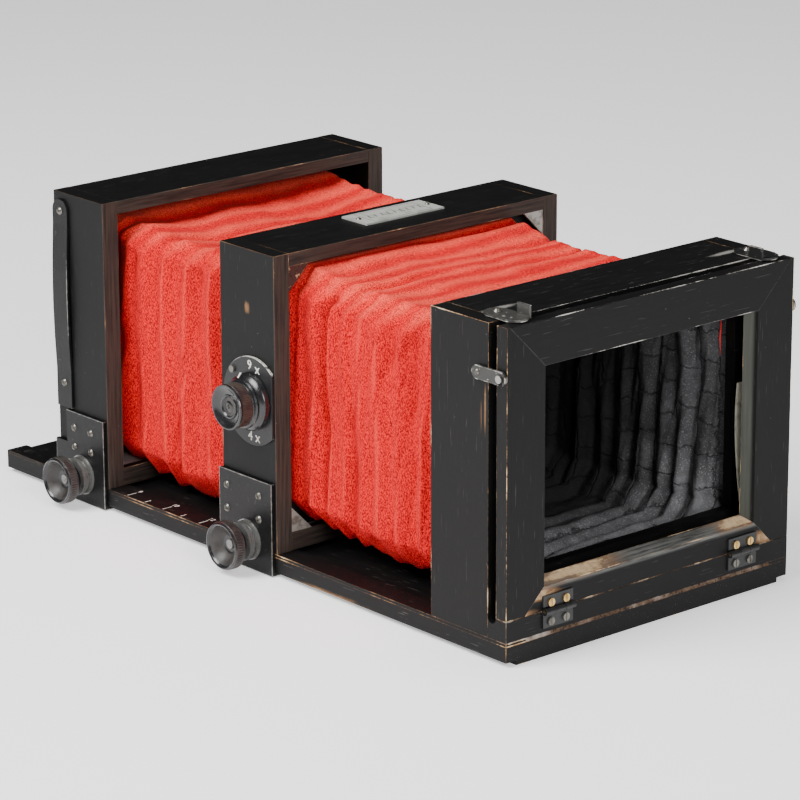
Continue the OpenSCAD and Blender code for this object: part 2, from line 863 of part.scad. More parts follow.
module mid_side_left() {
    color([0.22, 0.22, 0.23]) difference() {
        slide_side(mid_y0, mid_screws);
        x_bar(dial_shaft_r + run_fit, -slide_x - 1, -inner_x + 1, dial_y, lens_z);
        for (p = dial_screws) x_bar(small_shank_r + fit, -slide_x - 1, -slide_x + 4.2, p[0], p[1]);
    }
}

module mid_side_right() {
    color([0.22, 0.22, 0.23]) mirror([1, 0, 0]) slide_side(mid_y0, mid_screws);
}

name_x = 3.9;
name_y = mid_y + 3.8;
name_length = 43;
name_width = 16.4;
name_t = 0.8;
name_pins = [for (k = [-1, 1]) [name_x + k * (name_length / 2 - 2.4), name_y]];

module mid_top_board() {
    color([0.2, 0.2, 0.21]) difference() {
        slide_top(mid_y0);
        for (p = name_pins) translate([p[0], p[1], box_top - 3.2]) cylinder(r = small_shank_r + fit, h = 5);
    }
}

module mid_bottom_board() {
    color([0.2, 0.19, 0.19]) slide_bottom(mid_y0);
}

// The panel that guides the rear lens tube, with a notch for its rack.
module mid_lens_panel() {
    color([0.14, 0.14, 0.15]) difference() {
        block([-inner_x, panel_y0, slide_z + bottom_thickness],
              [inner_x, panel_y1, box_top - top_thickness]);
        y_bar(tele_r + 0.3, panel_y0 - 1, panel_y1 + 1, 0, lens_z);
        block([-rack_x - rack_width - 1, panel_y0 - 1, lens_z - pitch_r - rack_height - 1.5],
              [-tele_r + 2, panel_y1 + 1, lens_z - pitch_r + 2]);
    }
}

module mid_bellows_frames() {
    z0 = slide_z + bottom_thickness;
    z1 = box_top - top_thickness;
    color([0.14, 0.14, 0.15]) {
        bellows_frame(mid_frame_rear_y, mid_frame_rear_y + bellows_frame_t, inner_x, z0, z1);
        bellows_frame(mid_frame_front_y, mid_frame_front_y + bellows_frame_t, inner_x, z0, z1);
    }
}

// Four metal corner pieces in the rear opening of the middle box.
module mid_corner_plates() {
    z0 = slide_z + bottom_thickness;
    z1 = box_top - top_thickness;
    leg = bellows_corner;
    color([0.4, 0.38, 0.33]) both_sides() xz_plate(mid_y0 + 0.4, mid_y0 + 1.6) {
        polygon([[-inner_x, z1], [-inner_x + leg, z1], [-inner_x, z1 - leg]]);
        polygon([[-inner_x, z0], [-inner_x + leg, z0], [-inner_x, z0 + leg]]);
    }
}

module nameplate() {
    color([0.82, 0.82, 0.8]) difference() {
        block([name_x - name_length / 2, name_y - name_width / 2, box_top],
              [name_x + name_length / 2, name_y + name_width / 2, box_top + name_t]);
        for (p = name_pins) translate([p[0], p[1], box_top - 1]) cylinder(r = small_shank_r + fit, h = 3);
    }
}

// The dial plate: a disc whose rear side is cut off at the edge of the box.
module dial_plate() {
    color([0.24, 0.24, 0.23]) difference() {
        x_bar(dial_r, -slide_x - dial_t, -slide_x, dial_y, lens_z);
        block([-slide_x - dial_t - 1, dial_y - dial_r - 1, lens_z - dial_r - 1],
              [-slide_x + 1, dial_y - dial_cut, lens_z + dial_r + 1]);
        x_bar(dial_shaft_r + 0.3, -slide_x - dial_t - 1, -slide_x + 1, dial_y, lens_z);
        for (p = dial_screws) x_bar(small_shank_r + fit, -slide_x - dial_t - 1, -slide_x + 1, p[0], p[1]);
    }
}

// The two dial screws and the two nameplate pins.
module small_plate_screws() {
    x = -slide_x - dial_t;
    z = box_top + name_t;
    color([0.7, 0.68, 0.62]) {
        for (p = dial_screws) {
            x_bar(small_shank_r, x - 0.1, -slide_x + 4, p[0], p[1]);
            x_bar(small_screw_r, x - 0.9, x, p[0], p[1]);
        }
        for (p = name_pins) translate([p[0], p[1], 0]) {
            translate([0, 0, box_top - 3]) cylinder(r = small_shank_r, h = name_t + 3.1);
            translate([0, 0, z]) cylinder(r1 = small_screw_r * 0.8, r2 = small_screw_r * 0.5, h = 0.6);
        }
    }
}

module mid_brackets() {
    color([0.24, 0.24, 0.25]) both_sides()
        bracket(mid_bracket_y0, mid_bracket_y1, false, mid_screws, mid_y);
}

module mid_bracket_screws() {
    color([0.66, 0.6, 0.5]) both_sides() for (p = mid_screws) side_screw(bracket_x, p[0], p[1]);
}

module mid_clamp_bolt() {
    clamp_bolt(mid_y);
}

module mid_clamp_collar() {
    clamp_collar(mid_y);
}

module mid_clamp_knob() {
    clamp_knob(mid_y);
}

// ---- Dial knob, shaft and rack drive ----

// The dial knob is turned: a wide foot, a cone, a bead, a grip and a dished face.
module dial_knob() {
    x1 = -dial_x - dial_foot_t;
    x2 = x1 - dial_cone_t;
    x3 = x2 - dial_bead_t;
    x4 = x3 - dial_grip_t;
    color([0.17, 0.13, 0.12]) translate([0, dial_y, lens_z]) difference() {
        union() {
            x_bar(dial_foot_r, x1, -dial_x, 0, 0);
            translate([x2, 0, 0]) rotate([0, 90, 0])
                cylinder(r1 = dial_bead_r, r2 = dial_foot_r, h = dial_cone_t);
            x_bar(dial_bead_r, x3, x2, 0, 0);
            x_bar(dial_grip_r - 0.4, x4, x3, 0, 0);
            x_bar(dial_grip_r, -dial_end, x4, 0, 0);
        }
        x_bar(dial_shaft_r, -dial_end + 3, -dial_x + 1, 0, 0);
        x_bar(dial_grip_r - 1.4, -dial_end - 1, -dial_end + 1.6, 0, 0);
    }
}

function involute(base, a) = [
    base * (cos(a) + a * PI / 180 * sin(a)),
    base * (sin(a) - a * PI / 180 * cos(a))
];
function turn(p, a) = [p[0] * cos(a) - p[1] * sin(a), p[0] * sin(a) + p[1] * cos(a)];
function flank_angle(base, r) = sqrt(max(0, r * r / (base * base) - 1)) * 180 / PI;

// One side of a pinion tooth, from its root to its tip, as points about the axis.
function flank(root, base, tip, half) = concat(
    [[root * cos(half), -root * sin(half)]],
    [for (i = [0 : 4]) turn(involute(base, flank_angle(base, base + (tip - base) * i / 4)), -half)]
);

module pinion_outline() {
    backlash = 0.16;
    base = pitch_r * cos(pressure);
    root = pitch_r - gear_module;
    inv = tan(pressure) * 180 / PI - pressure;
    half = 90 / pinion_teeth - backlash / pitch_r * 90 / PI + inv;
    side = flank(root, base, pinion_r, half);
    circle(r = root);
    for (k = [0 : pinion_teeth - 1]) rotate(-90 + k * 360 / pinion_teeth) polygon(concat(
        [[0, 0]], side, [for (i = [len(side) - 1 : -1 : 0]) [side[i][0], -side[i][1]]]
    ));
}

module dial_shaft() {
    x_end = -rack_x - rack_width - 0.6;
    color([0.6, 0.56, 0.45]) {
        x_bar(dial_shaft_r, -dial_end + 3, x_end, dial_y, lens_z);
        translate([x_end - 0.1, dial_y, lens_z]) rotate([90, 0, 90])
            linear_extrude(rack_width) pinion_outline();
    }
}

// The rack: straight teeth in Y and Z under the pinion, meshing at rest at dial_y.
module rack_outline() {
    pitch = PI * gear_module;
    addendum = 0.6 * gear_module;
    dedendum = 1.1 * gear_module;
    z_pitch = lens_z - pitch_r;
    rear_teeth = ceil(travel / pitch) + 1;
    y0 = dial_y - (rear_teeth + 0.5) * pitch;
    y1 = dial_y + 1.5 * pitch;
    backlash = 0.08;
    polygon([
        [y0, z_pitch - rack_height], [y1, z_pitch - rack_height],
        [y1, z_pitch - dedendum], [y0, z_pitch - dedendum]
    ]);
    for (k = [-rear_teeth : 1]) {
        c = dial_y + (k - 0.5) * pitch;
        low = pitch / 4 - backlash + dedendum * tan(pressure);
        high = pitch / 4 - backlash - addendum * tan(pressure);
        polygon([
            [c - low, z_pitch - dedendum - 0.05], [c + low, z_pitch - dedendum - 0.05],
            [c + high, z_pitch + addendum], [c - high, z_pitch + addendum]
        ]);
    }
}

// The sliding rear lens tube, with its rack on the side.
module tele_tube() {
    y1 = tele_y0 + tele_length;
    seat_r = tele_r - tube_wall - 1.2;
    color([0.62, 0.5, 0.28]) {
        difference() {
            union() {
                y_bar(tele_r, tele_y0, y1, 0, lens_z);
                block([-rack_x - 0.1, dial_y - 14, lens_z - pitch_r - rack_height],
                      [-tele_r * 0.93, dial_y + 2, lens_z - pitch_r - 1]);
            }
            y_bar(seat_r, tele_y0 - 1, y1 + 1, 0, lens_z);
            y_bar(tele_r - tube_wall, tele_y0 + 4, y1 + 1, 0, lens_z);
        }
        yz_plate(-rack_x - rack_width, -rack_x) rack_outline();
    }
}

// A lens of two hollow faces, seated against the tube's inner shoulder.
module tele_glass() {
    y = tele_y0 + 4 + glass_t / 2;
    r = tele_r - tube_wall - 0.05;
    ball = 38;
    color([0.75, 0.85, 0.85]) difference() {
        y_bar(r, y - glass_t / 2, y + glass_t / 2, 0, lens_z);
        for (s = [-1, 1]) translate([0, y + s * (ball + 0.8), lens_z]) sphere(r = ball, $fn = 96);
    }
}

// ---- Front box ----

front_bracket_y0 = front_y + bracket_shift - bracket_width / 2;
front_bracket_y1 = front_bracket_y0 + bracket_width;
front_screw_y = front_y - 0.8;
front_bracket_screws = [
    for (y = [-5.9, 5.9]) for (z = [bed_top + 14.6, bed_top + 23.4]) [front_screw_y + y, z]
];
stay_screws = [[stay_y, stay_screw_top], [stay_y, stay_screw_low]];

module front_side() {
    difference() {
        slide_side(front_y0, front_bracket_screws);
        for (p = stay_screws) side_screw_hole(slide_x, p[0], p[1]);
    }
}

module front_side_left() {
    color([0.22, 0.22, 0.23]) front_side();
}

module front_side_right() {
    color([0.22, 0.22, 0.23]) mirror([1, 0, 0]) front_side();
}

module front_top_board() {
    color([0.2, 0.2, 0.21]) slide_top(front_y0);
}

module front_bottom_board() {
    color([0.3, 0.29, 0.27]) slide_bottom(front_y0);
}

module front_lens_board() {
    color([0.16, 0.15, 0.15]) difference() {
        block([-inner_x, lens_board_y, slide_z + bottom_thickness],
              [inner_x, front_y1, box_top - top_thickness]);
        y_bar(board_bore_r, lens_board_y - 1, front_y1 + 1, 0, lens_z);
    }
}

module front_bellows_frame() {
    color([0.14, 0.14, 0.15]) bellows_frame(front_frame_y, lens_board_y, inner_x,
        slide_z + bottom_thickness, box_top - top_thickness);
}

// The fixed front lens barrel with its mounting flange and a groove for the iris ring.
module lens_barrel() {
    y1 = front_y1 + flange_t + barrel_length;
    color([0.7, 0.56, 0.28]) difference() {
        union() {
            y_bar(flange_r, front_y1, front_y1 + flange_t, 0, lens_z);
            y_bar(barrel_r, lens_board_y - 8, y1, 0, lens_z);
            y_bar(barrel_r + 1.6, y1 - 3, y1, 0, lens_z);
        }
        y_bar(barrel_r - tube_wall - 1.2, lens_board_y - 9, y1 + 1, 0, lens_z);
        y_bar(barrel_r - tube_wall, y1 - 10, y1 + 1, 0, lens_z);
    }
}

module lens_glass() {
    y = front_y1 + flange_t + barrel_length - 10 + glass_t / 2;
    ball = 60;
    color([0.75, 0.85, 0.88]) intersection() {
        y_bar(barrel_r - tube_wall - 0.05, y - glass_t / 2, y + glass_t / 2, 0, lens_z);
        translate([0, y + glass_t / 2 - ball + 0.01, lens_z]) sphere(r = ball, $fn = 200);
    }
}

// The ring that sets the stop, with a small finger peg.
module iris_ring() {
    color([0.7, 0.56, 0.28]) difference() {
        union() {
            y_bar(barrel_r + 2.2, iris_y, iris_y + iris_t, 0, lens_z);
            translate([0, iris_y + iris_t / 2, lens_z]) cylinder(r = 1.2, h = barrel_r + 6);
        }
        y_bar(barrel_r + 0.2, iris_y - 1, iris_y + iris_t + 1, 0, lens_z);
    }
}

module front_brackets() {
    color([0.24, 0.24, 0.25]) both_sides()
        bracket(front_bracket_y0, front_bracket_y1, true, front_bracket_screws, front_y);
}

// The bracket screws and the stay screws of the front box.
module front_screws() {
    color([0.66, 0.6, 0.5]) both_sides() {
        for (p = front_bracket_screws) side_screw(bracket_x, p[0], p[1]);
        for (p = stay_screws) side_screw(slide_x + stay_t, p[0], p[1]);
    }
}

// The stay at -X: a thin bar on the side board, sprung outwards between its screws.
module front_stay() {
    r = stay_width / 2;
    x1 = -slide_x;
    x0 = x1 - stay_t;
    bow_z0 = stay_screw_low + 6;
    bow_z1 = stay_screw_top - 6;
    difference() {
        union() {
            x_bar(r, x0, x1, stay_y, stay_top - r);
            block([x0, stay_y - r, bow_z1], [x1, stay_y + r, stay_top - r]);
            translate([x1, stay_y + r, 0]) rotate([90, 0, 0]) linear_extrude(stay_width)
                mirror([1, 0]) bowed_strip(0, bow_z0, bow_z1, stay_bow, stay_t, 180, 16);
            block([x0, stay_y - r, stay_bottom], [x1, stay_y + r, bow_z0]);
        }
        for (p = stay_screws) side_screw_hole(slide_x + stay_t, p[0], p[1]);
    }
}

module front_stays() {
    color([0.27, 0.27, 0.26]) both_sides() front_stay();
}

module front_clamp_bolt() {
    clamp_bolt(front_y);
}

module front_clamp_collar() {
    clamp_collar(front_y);
}

module front_clamp_knob() {
    clamp_knob(front_y);
}

// ---- Bellows ----

module bellows_rear() {
    color([0.85, 0.2, 0.17]) bellows_tube(rear_frame_y + rear_frame_t, mid_frame_rear_y);
}

module bellows_front() {
    color([0.85, 0.2, 0.17]) bellows_tube(mid_frame_front_y + bellows_frame_t, front_frame_y);
}

bed_board();
bed_strips();
bed_strip_screws();
tripod_bush();
rear_side_left();
rear_side_right();
rear_top_board();
rear_sill();
rear_bellows_frame();
hinge_leaves_fixed();
hinge_pins();
rear_box_screws();
back_rail_top();
back_rail_bottom();
back_stile_left();
back_stile_right();
plate_springs();
hinge_leaves_moving();
hinge_screws_moving();
hook_studs();
top_latch_left();
top_latch_right();
side_hook_left();
side_hook_right();
mid_side_left();
mid_side_right();
mid_top_board();
mid_bottom_board();
mid_lens_panel();
mid_bellows_frames();
mid_corner_plates();
nameplate();
dial_plate();
small_plate_screws();
mid_brackets();
mid_bracket_screws();
mid_clamp_bolt();
mid_clamp_collar();
mid_clamp_knob();
dial_knob();
dial_shaft();
tele_tube();
tele_glass();
front_side_left();
front_side_right();
front_top_board();
front_bottom_board();
front_lens_board();
front_bellows_frame();
lens_barrel();
lens_glass();
iris_ring();
front_brackets();
front_screws();
front_stays();
front_clamp_bolt();
front_clamp_collar();
front_clamp_knob();
bellows_rear();
bellows_front();
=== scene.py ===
"""Tabletop bellows camera: a black bed, three wooden boxes and two red cloth bellows.

The script follows the camera as it is put together: the view and the studio, the bed, the
rear box and its hinged back, the middle box with its dial, the front box with its lens, and
last the two bellows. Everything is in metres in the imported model's own frame.
"""

import math

import bmesh
import bpy
from mathutils import Matrix, Vector, noise


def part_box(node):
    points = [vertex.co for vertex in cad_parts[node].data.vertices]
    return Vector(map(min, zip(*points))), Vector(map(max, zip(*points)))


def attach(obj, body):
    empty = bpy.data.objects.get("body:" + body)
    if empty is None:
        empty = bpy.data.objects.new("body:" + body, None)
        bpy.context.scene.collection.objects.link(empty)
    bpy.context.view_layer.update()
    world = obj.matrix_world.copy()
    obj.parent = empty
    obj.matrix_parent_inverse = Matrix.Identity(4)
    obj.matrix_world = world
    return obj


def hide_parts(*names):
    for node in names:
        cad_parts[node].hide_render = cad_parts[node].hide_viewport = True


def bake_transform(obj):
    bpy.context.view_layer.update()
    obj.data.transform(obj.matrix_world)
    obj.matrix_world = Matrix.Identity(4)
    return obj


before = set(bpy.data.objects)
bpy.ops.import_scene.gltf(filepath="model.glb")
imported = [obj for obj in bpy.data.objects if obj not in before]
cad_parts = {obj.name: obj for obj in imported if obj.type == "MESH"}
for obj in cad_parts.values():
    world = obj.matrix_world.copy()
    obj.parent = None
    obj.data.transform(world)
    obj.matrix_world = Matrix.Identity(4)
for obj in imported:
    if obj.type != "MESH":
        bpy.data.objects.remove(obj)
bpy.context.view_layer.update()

# ---- The view and the studio ----
# A long lens looks down on the camera's rear left corner. The studio is a white table and
# soft light from all round, with the main light above on the left.

camera = bpy.data.objects.new("view", bpy.data.cameras.new("view"))
bpy.context.scene.collection.objects.link(camera)
camera.data.lens = 180.5
camera.data.sensor_width = 36
camera.data.clip_end = 20
camera.location = (-1.068, -1.2467, 0.5598)
camera.rotation_mode = "QUATERNION"
looking = Vector((0.6256, 0.7228, -0.2937)).normalized()
roll = Matrix.Rotation(0.0035, 3, looking).to_quaternion()
camera.rotation_quaternion = roll @ looking.to_track_quat("-Z", "Y")
bpy.context.scene.camera = camera


def soft_light(name, place, aim, size, power):
    """A square white light at a place, turned towards a point."""
    lamp = bpy.data.lights.new(name, "AREA")
    lamp.energy = power
    lamp.size = size
    holder = bpy.data.objects.new(name, lamp)
    holder.location = place
    holder.rotation_mode = "QUATERNION"
    holder.rotation_quaternion = (Vector(aim) - Vector(place)).to_track_quat("-Z", "Y")
    bpy.context.scene.collection.objects.link(holder)


soft_light("main_light", place=(-0.95, 0.15, 1.15), aim=(0, 0, 0.06), size=0.8, power=37)
soft_light("rear_light", place=(-0.45, -1.5, 0.75), aim=(0.02, 0, 0.06), size=0.7, power=22)
soft_light("top_light", place=(0.1, -0.1, 1.6), aim=(0, 0, 0), size=0.5, power=9)

# The room is darker behind the camera's front end, so that its tops stay black.
surroundings = bpy.data.worlds.new("studio")
surroundings.use_nodes = True
room = surroundings.node_tree
direction = room.nodes.new("ShaderNodeTexCoord")
towards = room.nodes.new("ShaderNodeVectorMath")
towards.operation = "DOT_PRODUCT"
towards.inputs[1].default_value = (0.58, 0.67, 0.30)
shade = room.nodes.new("ShaderNodeMapRange")
shade.interpolation_type = "SMOOTHSTEP"
shade.inputs["From Min"].default_value = -0.5
shade.inputs["From Max"].default_value = 0.75
shade.inputs["To Min"].default_value = 0.56
shade.inputs["To Max"].default_value = 0.16
room.links.new(direction.outputs["Generated"], towards.inputs[0])
room.links.new(towards.outputs["Value"], shade.inputs["Value"])
room.links.new(shade.outputs["Result"], room.nodes["Background"].inputs["Strength"])
bpy.context.scene.world = surroundings

# ---- The table ----
# A plain matt white table top under the camera. Its finish is the first one, so Value, which
# does sums on a material's sockets, and Finish, which is one surface, are made here.


class Value:
    """One socket of a material, usable in arithmetic."""

    def __init__(self, tree, socket):
        self.tree = tree
        self.socket = socket

    def math(self, operation, *others):
        node = self.tree.nodes.new("ShaderNodeMath")
        node.operation = operation
        for slot, value in zip(node.inputs, (self, *others)):
            if isinstance(value, Value):
                self.tree.links.new(value.socket, slot)
            else:
                slot.default_value = value
        return Value(self.tree, node.outputs[0])

    def flipped(self, operation, value):
        """The sum with a plain number first, such as 1 - mask."""
        node = self.tree.nodes.new("ShaderNodeMath")
        node.operation = operation
        node.inputs[0].default_value = value
        self.tree.links.new(self.socket, node.inputs[1])
        return Value(self.tree, node.outputs[0])

    def __add__(self, other):
        return self.math("ADD", other)

    def __radd__(self, other):
        return self.flipped("ADD", other)

    def __sub__(self, other):
        return self.math("SUBTRACT", other)

    def __rsub__(self, other):
        return self.flipped("SUBTRACT", other)

    def __mul__(self, other):
        return self.math("MULTIPLY", other)

    def __rmul__(self, other):
        return self.flipped("MULTIPLY", other)

    def __truediv__(self, other):
        return self.math("DIVIDE", other)

    def least(self, other):
        return self.math("MINIMUM", other)

    def most(self, other):
        return self.math("MAXIMUM", other)

    def size(self):
        return self.math("ABSOLUTE")


class Finish:
    """A material with one Principled surface, and the nodes that feed it."""

    def __init__(self, name, **constants):
        self.material = bpy.data.materials.new(name)
        self.material.use_nodes = True
        self.tree = self.material.node_tree
        self.surface = self.tree.nodes["Principled BSDF"]
        for socket, value in constants.items():
            self.surface.inputs[socket.replace("_", " ")].default_value = value
        self.place = self.node("ShaderNodeTexCoord", {}, {}, "Object")
        self.x = self.node("ShaderNodeSeparateXYZ", {}, {0: self.place}, "X")
        self.y = self.node("ShaderNodeSeparateXYZ", {}, {0: self.place}, "Y")
        self.z = self.node("ShaderNodeSeparateXYZ", {}, {0: self.place}, "Z")

    def node(self, kind, settings, inputs, output=0):
        made = self.tree.nodes.new(kind)
        for key, value in settings.items():
            setattr(made, key, value)
        for key, value in inputs.items():
            if isinstance(value, Value):
                self.tree.links.new(value.socket, made.inputs[key])
            else:
                made.inputs[key].default_value = value
        return Value(self.tree, made.outputs[output])

    def feed(self, socket, value):
        self.tree.links.new(value.socket, self.surface.inputs[socket])

    def stretched(self, scales):
        return self.node("ShaderNodeVectorMath", {"operation": "MULTIPLY"},
                         {0: self.place, 1: scales})

    def cloud(self, scale, detail=3.0, rough=0.55, place=None):
        return self.node("ShaderNodeTexNoise", {},
                         {"Vector": place or self.place, "Scale": scale,
                          "Detail": detail, "Roughness": rough})

    def smooth(self, value, start, end):
        return self.node("ShaderNodeMapRange", {"interpolation_type": "SMOOTHSTEP"},
                         {"Value": value, "From Min": start, "From Max": end})

    def blend(self, factor, first, second):
        inputs = {"Factor": factor}
        for key, colour in ((6, first), (7, second)):
            inputs[key] = colour if isinstance(colour, Value) else (*colour, 1)
        return self.node("ShaderNodeMix", {"data_type": "RGBA"}, inputs, 2)

    def bump(self, height, depth, strength):
        normal = self.node("ShaderNodeBump", {},
                           {"Height": height, "Distance": depth, "Strength": strength})
        self.feed("Normal", normal)


table_top = Finish("white_table", Roughness=0.9, Emission_Color=(1, 1, 1, 1),
                   Emission_Strength=0.55)
table_top.feed("Base Color", table_top.blend(table_top.cloud(3.0), (0.86, 0.86, 0.86),
                                             (0.9, 0.9, 0.9)))
shape = bmesh.new()
bmesh.ops.create_grid(shape, x_segments=1, y_segments=1, size=30)
mesh = bpy.data.meshes.new("table_top")
shape.to_mesh(mesh)
shape.free()
floor = bpy.data.objects.new("table_top", mesh)
bpy.context.scene.collection.objects.link(floor)
mesh.materials.append(table_top.material)

# ---- The bed ----
# A flat hardwood board with two thin wear strips glued and screwed on top, all lacquered
# black. The strips' edges are rubbed down to the wood by the sliding boxes.

LACQUER = (0.0028, 0.0030, 0.0034)
LACQUER_WARM = (0.0058, 0.0052, 0.0048)
WORN_WOOD = (0.26, 0.135, 0.06)
PALE_WOOD = (0.62, 0.45, 0.27)
BARE_WOOD = (0.056, 0.043, 0.034)
BED_HALF = 0.0785  # half the width of the bed, the rear box and the back
SLIDE_HALF = 0.0787  # half the width of the two sliding boxes
BEVEL = 0.0025  # the slope round the window of the back

# Pattern scales that draw streaks along the grain of a board.
STRETCH = {"x": (40, 900, 900), "y": (900, 40, 900), "z": (900, 900, 40)}

# The corner joints of the back run at 45 degrees, where z - |x| and z + |x| have these values.
UPPER_MITRE = 0.0609
LOWER_MITRE = 0.0877
DIAGONAL = 0.7071


def edge_distance(finish, low, high):
    """How far a point on a board's surface is from the board's nearest edge."""
    gaps = [
        (finish.x - low[0]).least(high[0] - finish.x),
        (finish.y - low[1]).least(high[1] - finish.y),
        (finish.z - low[2]).least(high[2] - finish.z),
    ]
    smaller = gaps[0].least(gaps[1])
    larger = gaps[0].most(gaps[1])
    return smaller.most(larger.least(gaps[2]))


def lacquered(name, low, high, grain, wear, tan, patches=(), scuffs=0.0, bare_rear=False,
              bare_inside=False, reveal=False, ledge=False, mitred=False):
    """Black lacquer over wood, on a board that reaches from low to high.

    wear is how wide the edges are rubbed, in millimetres, and tan is how brown the worn wood
    is, from 0, grey, to 1. patches are places rubbed down to pale wood: (x, y, z, three radii,
    strength). scuffs is how much more the fine scratches show. bare_rear leaves the rear face
    as dark stained wood, bare_inside paints the floor inside the box pale grey, reveal a grey
    inner edge, ledge a rubbed upper slope, and mitred the corner joints.
    """
    f = Finish(name, Specular_IOR_Level=0.15)
    edge = edge_distance(f, low, high)
    patchy = f.cloud(48.0, 4.0, 0.62)
    fine = f.cloud(900.0, 3.0, 0.7)
    streak = f.cloud(1.0, 4.0, 0.6, f.stretched(STRETCH[grain]))
    rubbed = f.smooth(patchy, 0.45, 0.72)
    reach = (rubbed * 0.40 + (fine - 0.5) * 0.3) * (min(wear, 0.9) * 0.001)
    worn = f.smooth(edge - reach, 0.00013, -0.00003) * (rubbed * 0.5 + min(0.5 * wear, 0.75))
    worn = worn * f.smooth(fine + rubbed * 0.25, 0.36, 0.56)
    ragged = f.cloud(1.0, 6.0, 0.72, f.stretched([s * 0.3 + 60 for s in STRETCH[grain]]))
    for px, py, pz, rx, ry, rz, strength in patches:
        nx, ny, nz = (f.x - px) / rx, (f.y - py) / ry, (f.z - pz) / rz
        far = (nx * nx + ny * ny + nz * nz).math("SQRT")
        worn = worn.most(f.smooth(far + (ragged - 0.5) * 1.5, 1.05, 0.35) * strength)
    black = f.blend(patchy, LACQUER, LACQUER_WARM)
    black = f.blend(f.smooth(streak, 0.35, 0.75) * 0.3, black, (0.010, 0.010, 0.0105))
    if bare_rear:
        rear = f.smooth(f.y - low[1], 0.0006, 0.0002)
        brown = f.blend(f.smooth(streak, 0.3, 0.7), BARE_WOOD, (0.019, 0.016, 0.015))
        brown = f.blend(f.smooth(f.cloud(30.0), 0.45, 0.75) * 0.6, brown, (0.055, 0.036, 0.03))
        black = f.blend(rear, black, brown)
    fibres = f.cloud(1.0, 2.0, 0.4, f.stretched([s * 2.3 for s in STRETCH[grain]]))
    scratch = f.smooth(fibres, 0.69, 0.76)
    if mitred:
        # The joints of the frame's corners show as fine pale lines.
        upper = ((f.x.size() - f.z + UPPER_MITRE) * DIAGONAL).size()
        lower = ((f.x.size() + f.z - LOWER_MITRE) * DIAGONAL).size()
        joint = f.smooth(upper.least(lower), 0.00032, 0.00012) * f.smooth(fine, 0.35, 0.55)
        scratch = scratch.most(joint)
    cells = f.node("ShaderNodeTexVoronoi", {}, {"Vector": f.place, "Scale": 210.0})
    specks = f.smooth(cells, 0.055, 0.03) * f.smooth(f.cloud(70.0), 0.52, 0.62)
    black = f.blend(scratch * (0.35 + scuffs), black, (0.09, 0.085, 0.08))
    black = f.blend(specks * 0.7, black, (0.2, 0.17, 0.13))
    # The floor inside the box is painted pale grey.
    if bare_inside:
        inner = f.smooth(f.z - high[2], -0.0004, -0.0001) * f.smooth(f.y - low[1], 0.0034, 0.0044)
        pale_floor = inner * (0.45 + f.smooth(patchy, 0.3, 0.6) * 0.55)
        black = f.blend(pale_floor, black, (0.30, 0.295, 0.28))
    if reveal:
        turned_in = f.smooth(f.x - low[0], 0.0022, 0.0014)
        black = f.blend(turned_in * (0.5 + streak * 0.6), black, (0.085, 0.090, 0.075))
    if ledge:
        slope = f.smooth(f.z, 0.0268, 0.0288) * f.smooth(streak * 0.6 + ragged * 0.4, 0.32, 0.62)
        black = f.blend(slope, black, (0.155, 0.155, 0.145))
    splinters = (f.cloud(420.0, 3.0, 0.7) - 0.5) * 1.1
    wood = f.blend(f.smooth(worn + splinters, 0.5, 1.1), WORN_WOOD, PALE_WOOD)
    if tan < 1:
        wood = f.blend(f.smooth(patchy + 0.5 - tan, 0.35, 0.6), wood, (0.42, 0.40, 0.37))
    f.feed("Base Color", f.blend(worn, black, wood))
    gloss = 0.34 + streak * 0.16 + patchy * 0.1 + fine * 0.05
    if bare_rear:
        gloss = gloss + rear * 0.2
    f.feed("Roughness", gloss + worn * 0.25)
    f.bump(streak * 0.6 + fine * 0.4 - worn * 0.8 + scratch * 0.5, 0.00006, 0.6)
    return f.material


def merged_copy(node):
    """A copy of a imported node's mesh with its loose triangles joined into flat faces."""
    made = bmesh.new()
    made.from_mesh(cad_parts[node].data)
    bmesh.ops.remove_doubles(made, verts=made.verts[:], dist=1e-6)
    bmesh.ops.dissolve_limit(made, angle_limit=0.02, verts=made.verts[:], edges=made.edges[:],
                             delimit={"NORMAL"})
    return made


def place_piece(made, name, body, material, replaced=(), smooth=False):
    """Turns a finished bmesh into a piece that rides on a body."""
    built = bpy.data.meshes.new(name)
    if smooth:
        for face in made.faces:
            face.smooth = True
    made.to_mesh(built)
    made.free()
    piece = bpy.data.objects.new(name, built)
    bpy.context.scene.collection.objects.link(piece)
    for one in material if isinstance(material, (list, tuple)) else [material]:
        built.materials.append(one)
    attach(piece, body)
    if replaced:
        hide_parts(*replaced)
    return piece


def rounded_board(node, body, material, radius=0.00035):
    """A board like its node, with its sharp edges rounded over by handling."""
    made = merged_copy(node)
    sharp = [e for e in made.edges if e.is_manifold and e.calc_face_angle() > 0.5]
    bmesh.ops.bevel(made, geom=sharp, offset=radius, offset_type="OFFSET", affect="EDGES",
                    segments=3, profile=0.5, material=-1, clamp_overlap=True)
    for face in made.faces:
        face.smooth = False
    place_piece(made, node + "_board", body, material, [node])


def across(low, high, half):
    """The same box from side to side of the camera, so that a joint isn't taken for an edge."""
    return (-half, low[1], low[2]), (half, high[1], high[2])


low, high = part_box("bed_board")
rounded_board("bed_board", "root",
              lacquered("bed_lacquer", low, high, "y", wear=0.6, tan=0.8, scuffs=0.4,
                        patches=[(-0.079, -0.06, 0.0, 0.004, 0.03, 0.004, 0.7)]))

low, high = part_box("bed_strips")
rounded_board("bed_strips", "root",
              lacquered("strip_lacquer", low, high, "y", wear=1.0, tan=1.0, scuffs=0.3),
              0.0003)


